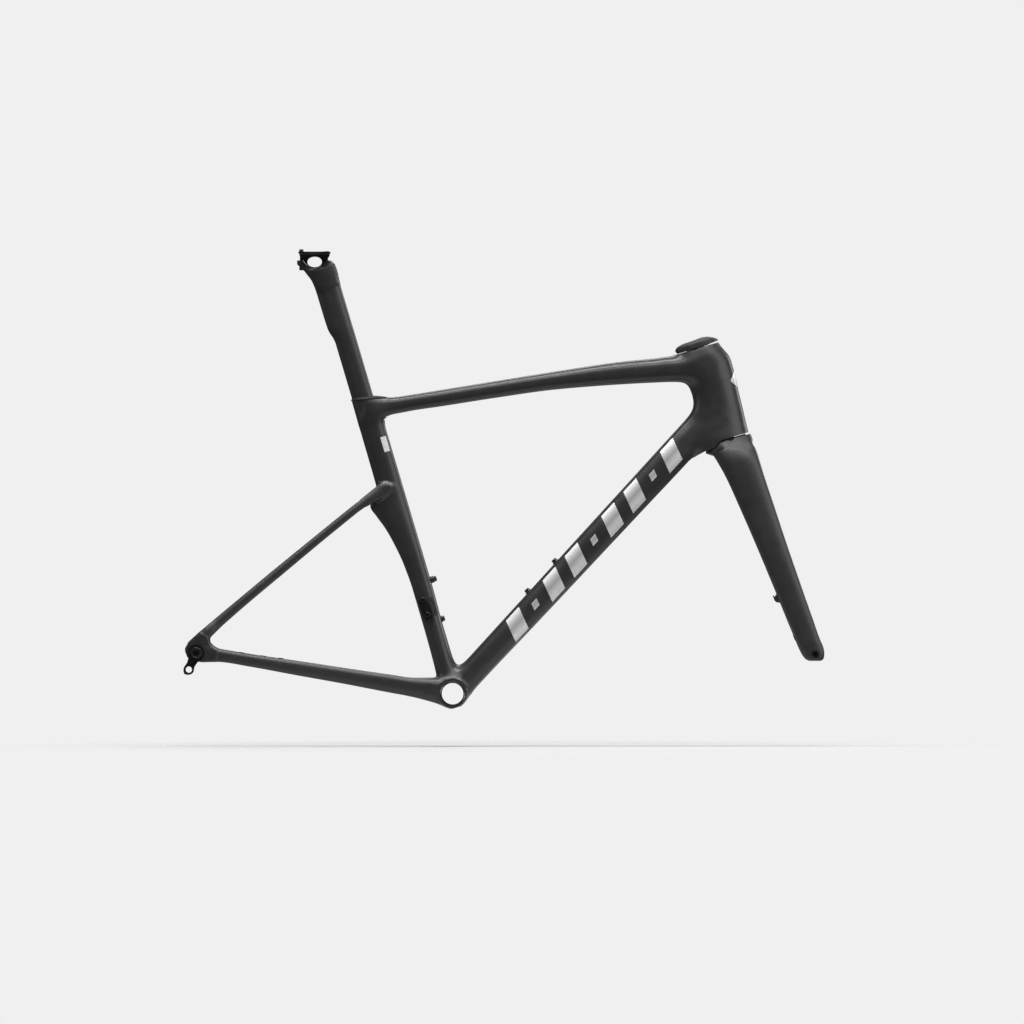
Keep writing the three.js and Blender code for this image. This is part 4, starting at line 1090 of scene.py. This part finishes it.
def hanger():
    """The replaceable derailleur hanger and its notched nut."""
    arm = [(-417, 61), (-417.8, 56), (-419.2, 50.6), (-421.4, 47), (-424.6, 42.6), (-425.4, 37),
           (-423.8, 31.6), (-418, 30.3), (-412, 32.6), (-409, 37.6), (-407.4, 43.6), (-403.4, 49.6),
           (-398, 55), (-400, 62)]
    axle = in_space(REAR_AXLE)
    piece = prism(arm, -80.5, -78.2, "hanger")
    combine(piece, [turned("eye", disc(8.2, -81.0, -77.6), in_space(HANGER_EYE), ACROSS, soft=0, sides=56),
                    turned("ring", disc(13.0, -81.2, -78.2), axle, ACROSS, soft=0, sides=72)], "UNION")
    holes = ((REAR_AXLE, 6.4, -60), (HANGER_EYE, 4.9, -60), (REAR_AXLE, 10.6, -80.5))
    cut_away(piece, [bore(at, radius, -95, high) for at, radius, high in holes], "EXACT")
    fit_out(bevel(piece, 0.35), BLACK_METAL, "frame", "black_metal", "derailleur_hanger")
    nut = turned("hanger_nut_piece", [
        (6.4, -80.4), (6.4, -83.6), (7.0, -84.2), (8.6, -84.2), (9.3, -83.4), (9.3, -80.4), (6.4, -80.4),
    ], axle, ACROSS, soft=0.3, sides=64)
    angles = [turn * math.pi / 3 + 0.3 for turn in range(6)]
    notches = [REAR_AXLE + 9.6 * np.array([math.cos(angle), math.sin(angle)]) for angle in angles]
    cut_away(nut, [bore(at, 1.3, -95, -82.2, 20) for at in notches], "EXACT")
    fit_out(nut, DARK_STEEL, "frame", "black_metal", "hanger_nut")


def derailleur_plate():
    """The plate for the front derailleur, with its two bolts."""
    nodes = ("front_derailleur_bolt_1", "front_derailleur_bolt_2")
    outline = seat_outline((158, -10.6), (158, -0.5), (150, 3.2), (140, 5.2), (122, 5.2), (120, 3),
                           (120, -10.6))
    piece = prism(outline, -21.6, -18.4, "front_plate")
    cut_away(piece, [bore(side_middle(node), 2.7, -40, 0, 32) for node in nodes], "EXACT")
    fit_out(bevel(piece, 0.6), BLACK_METAL, "frame", "black_metal", "front_derailleur_mount")
    for node in nodes:
        bolt = socket_bolt(node + "_piece", [
            (0, -18.8), (2.5, -18.8), (2.5, -21.7), (4.4, -21.7), (4.4, -24), (3.4, -25), (0, -25),
        ], in_space(side_middle(node)), ACROSS, 0.4, (3.6, -32, -22.9))
        fit_out(bolt, BLACK_METAL, "frame", "steel", node)


# ---- saddle clamp ----
RAIL_SPACING, RAIL_RADIUS, RAIL_HEIGHT = 44.0, 3.6, 695.4
CLAMP_BOLTS = [("rear", -239.6, 671.6, 704.4), ("front", -199.6, 674.0, 701.4)]


def rail_grooves():
    return [turned("groove", disc(RAIL_RADIUS, -60, 60), (TILT_AT[0], side * RAIL_SPACING / 2, RAIL_HEIGHT),
                   (1, 0, 0), soft=0, sides=48) for side in (-1, 1)]


def over_bolts(name, radius, low, high, sides):
    return [turned(name, disc(radius, low, high), (x, 0, 0), UPRIGHT, soft=0, sides=sides)
            for _, x, _, _ in CLAMP_BOLTS]


def saddle_clamp():
    """The lower cradle and the rail clamp above it, with their bolts and nuts."""
    x = TILT_AT[0]
    bar = through([(x - 22.4, 691), (x - 20.4, 690.2), (x + 19.4, 690.2), (x + 21.4, 691), (x + 23.6, 695),
                   (x - 24.2, 695)], 29, "clamp_cradle")
    lobe = turned("lobe", disc(21.0, -11.5, 11.5), in_space(TILT_AT), ACROSS, soft=0, sides=120)
    cut_away(lobe, [through(rectangle((x - 40, 694.9), (x + 40, 730)), 30)], "EXACT")
    combine(bar, [lobe], "UNION")
    cut_away(bar, [scoop(), *rail_grooves(), *over_bolts("hole", 2.9, 660, 710, 32)], "EXACT")
    fit_out(bevel(bar, 0.7), GLOSS_BLACK, "saddle_clamp", "black_metal", "lower_cradle")
    top = through([(x - 23.6, 695.4), (x + 23, 695.4), (x + 25, 699.2), (x + 24.4, 700.4), (x - 25.4, 700.4),
                   (x - 26, 699.2)], 30, "clamp_top")
    pockets = []
    for low, high in ((x - 20.5, x - 9), (x + 9, x + 20.5)):
        outline = [(low, 696.4), (high, 696.4), (high + 1, 699.4), (low - 1, 699.4)]
        pockets += [prism(outline, *faces) for faces in ((-40, -28.4), (28.4, 40))]
    recesses = over_bolts("recess", 5.2, 699.2, 710, 48)
    saddle = through(ellipse((x - 0.5, 703.4), 8.0, 4.4), 24)
    holes = over_bolts("hole", 2.9, 660, 720, 32)
    cut_away(top, [*rail_grooves(), *holes, *recesses, *pockets, saddle], "EXACT")
    fit_out(bevel(top, 0.7), DARK_STEEL, "saddle_clamp", "black_metal", "rail_clamp")
    for name, at, low, head in CLAMP_BOLTS:
        bolt = socket_bolt(f"clamp_bolt_{name}_piece", [
            (0, low), (2.2, low), (2.4, low + 0.5), (2.4, 699.6), (3.4, 699.6), (3.4, head - 0.5),
            (2.9, head), (0, head),
        ], (at, 0, 0), UPRIGHT, 0.25, (2.9, head - 1.4, head + 9))
        fit_out(bolt, DARK_STEEL, "saddle_clamp", "steel", f"clamp_bolt_{name}")
        node = f"clamp_nut_{name}"
        bottom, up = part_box(node)
        profile = ring(2.6, 3.3, bottom[2] / MM, up[2] / MM)
        nut = turned(f"{node}_piece", profile, (at, 0, 0), UPRIGHT, soft=0.2)
        fit_out(nut, DARK_STEEL, "saddle_clamp", "steel", node)


# ---- camera and studio ----
VIEW_WIDTH = 1623.0
VIEW_CENTRE = (94.2, 288.0)
CAMERA_DISTANCE = 30.0
FLOOR_HEIGHT = -84.0
FLOOR_RADIUS = 2.6
BACKGROUND = 0.871
FILL = 0.125
FLOOR_CLEAR = 0.12
LIGHTS = [  # name, place, target, size, power
    ("overhead", (0.1, -0.45, 2.6), (0.1, 0, 0.3), (3.2, 0.7), 80.0),
    ("front_high", (0.35, -2.2, 2.5), (0.1, 0, 0.3), (2.6, 0.5), 36.0),
    ("front_side", (2.3, -1.7, 1.0), (0.3, 0, 0.35), (2.0, 2.2), 26.0),
    ("rear_side", (-2.5, -0.7, 1.0), (0.0, 0, 0.35), (0.8, 1.6), 8.0),
    ("far_front", (2.6, 1.5, 1.1), (0.3, 0, 0.35), (1.0, 1.8), 22.0),
    ("far_side", (0.2, 2.4, 2.2), (0.1, 0, 0.3), (2.4, 0.8), 24.0),
]


def make_camera():
    data = bpy.data.cameras.new("camera")
    data.sensor_width = 36.0
    data.lens = data.sensor_width * CAMERA_DISTANCE / (VIEW_WIDTH * MM)
    data.clip_end = 100.0
    camera = add_object("camera", data)
    camera.location = (VIEW_CENTRE[0] * MM, -CAMERA_DISTANCE, VIEW_CENTRE[1] * MM)
    camera.rotation_euler = (math.pi / 2, 0, 0)
    bpy.context.scene.camera = camera

def pale_floor():
    """A pale disc that catches the shadow and fades out into the background."""
    sides, rings = 96, 12
    vertices = [(0, 0, 0)]
    faces = [[0, 1 + i, 1 + (i + 1) % sides] for i in range(sides)]
    for r in range(1, rings + 1):
        radius = FLOOR_RADIUS / MM * r / rings
        vertices += [(x, y, 0) for x, y in ellipse((0, 0), radius, radius, sides)]
        if r < rings:
            faces += strip(1 + r * sides, 1 + (r - 1) * sides, sides)
    floor = new_object("studio_floor", vertices, faces)
    floor.location = (0.1, 0, FLOOR_HEIGHT * MM)
    finish = Finish("studio_floor", Roughness=0.9, Specular_IOR_Level=0.1)
    finish.shade(finish.noise(3.0), 0.56, 0.58)
    tree = finish.tree
    distance = lay(tree, "VectorMath", {0: finish.place}, operation="LENGTH").outputs["Value"]
    reach = {"From Min": 0.3, "From Max": 1.0, "To Min": FLOOR_CLEAR}
    fade = lay(tree, "MapRange", {"Value": distance}, reach,
               interpolation_type="SMOOTHERSTEP").outputs["Result"]
    clear = lay(tree, "BsdfTransparent").outputs["BSDF"]
    mixed = lay(tree, "MixShader", {0: fade, 1: finish.shader.outputs["BSDF"], 2: clear}).outputs["Shader"]
    output = next(n for n in tree.nodes if n.type == "OUTPUT_MATERIAL")
    tree.links.new(mixed, output.inputs["Surface"])
    floor.data.materials.append(finish.material)


def soft_light(name, place, target, size, power):
    data = bpy.data.lights.new(name, "AREA")
    data.shape, data.size, data.size_y, data.energy = "RECTANGLE", size[0], size[1], power
    light = add_object(name, data)
    light.location = place
    light.rotation_euler = (Vector(target) - Vector(place)).to_track_quat("-Z", "Y").to_euler()


def studio():
    world = bpy.data.worlds.new("studio")
    world.use_nodes = True
    shade = world.node_tree.nodes["Background"]
    shade.inputs["Color"].default_value = grey(1.0)
    seen = lay(world.node_tree, "LightPath").outputs["Is Camera Ray"]
    level = lay(world.node_tree, "MapRange", {"Value": seen}, {"To Min": FILL, "To Max": BACKGROUND})
    world.node_tree.links.new(level.outputs["Result"], shade.inputs["Strength"])
    bpy.context.scene.world = world
    bpy.context.scene.view_settings.view_transform = "Standard"
    for light in LIGHTS:
        soft_light(*light)


# ---- the whole model ----
frame_surface = frame_field()
make_camera()
studio()
pale_floor()
fit_out(frame_shell(), CARBON, "frame", "carbon", "bottom_bracket_shell", "seat_tube", "top_tube",
        "down_tube", "head_tube")
for side, hand in ((-1, "right"), (1, "left")):
    fit_out(rear_end(f"rear_end_{hand}", side), CARBON, "frame", "carbon", f"{hand}_dropout",
            f"{hand}_chainstay", f"{hand}_seatstay")
fit_out(fork_shell(), CARBON, "fork", "carbon", "fork_crown", "right_fork_leg", "left_fork_leg")
fit_out(seatpost_shell(), CARBON, "seatpost", "carbon", "seatpost")
fit_out(headset_leaf(), PLASTIC, "frame", "plastic", "headset_cover")
fit_out(cluster_lens(), RUBBER, "frame", "rubber", "seat_cluster_cover")
side_films(frame_surface)
head_badge(frame_surface)
blank_label(frame_surface)
port_gasket(frame_surface)
bottle_bolts()
small_rings()
bracket_sleeve()
headset()
crown_seal()
thru_axle("front_axle_piece", "front_thru_axle", "front_axle", 63.2)
thru_axle("rear_axle_piece", "rear_thru_axle", "rear_axle", 79.9)
wedge_parts()
hanger()
derailleur_plate()
saddle_clamp()
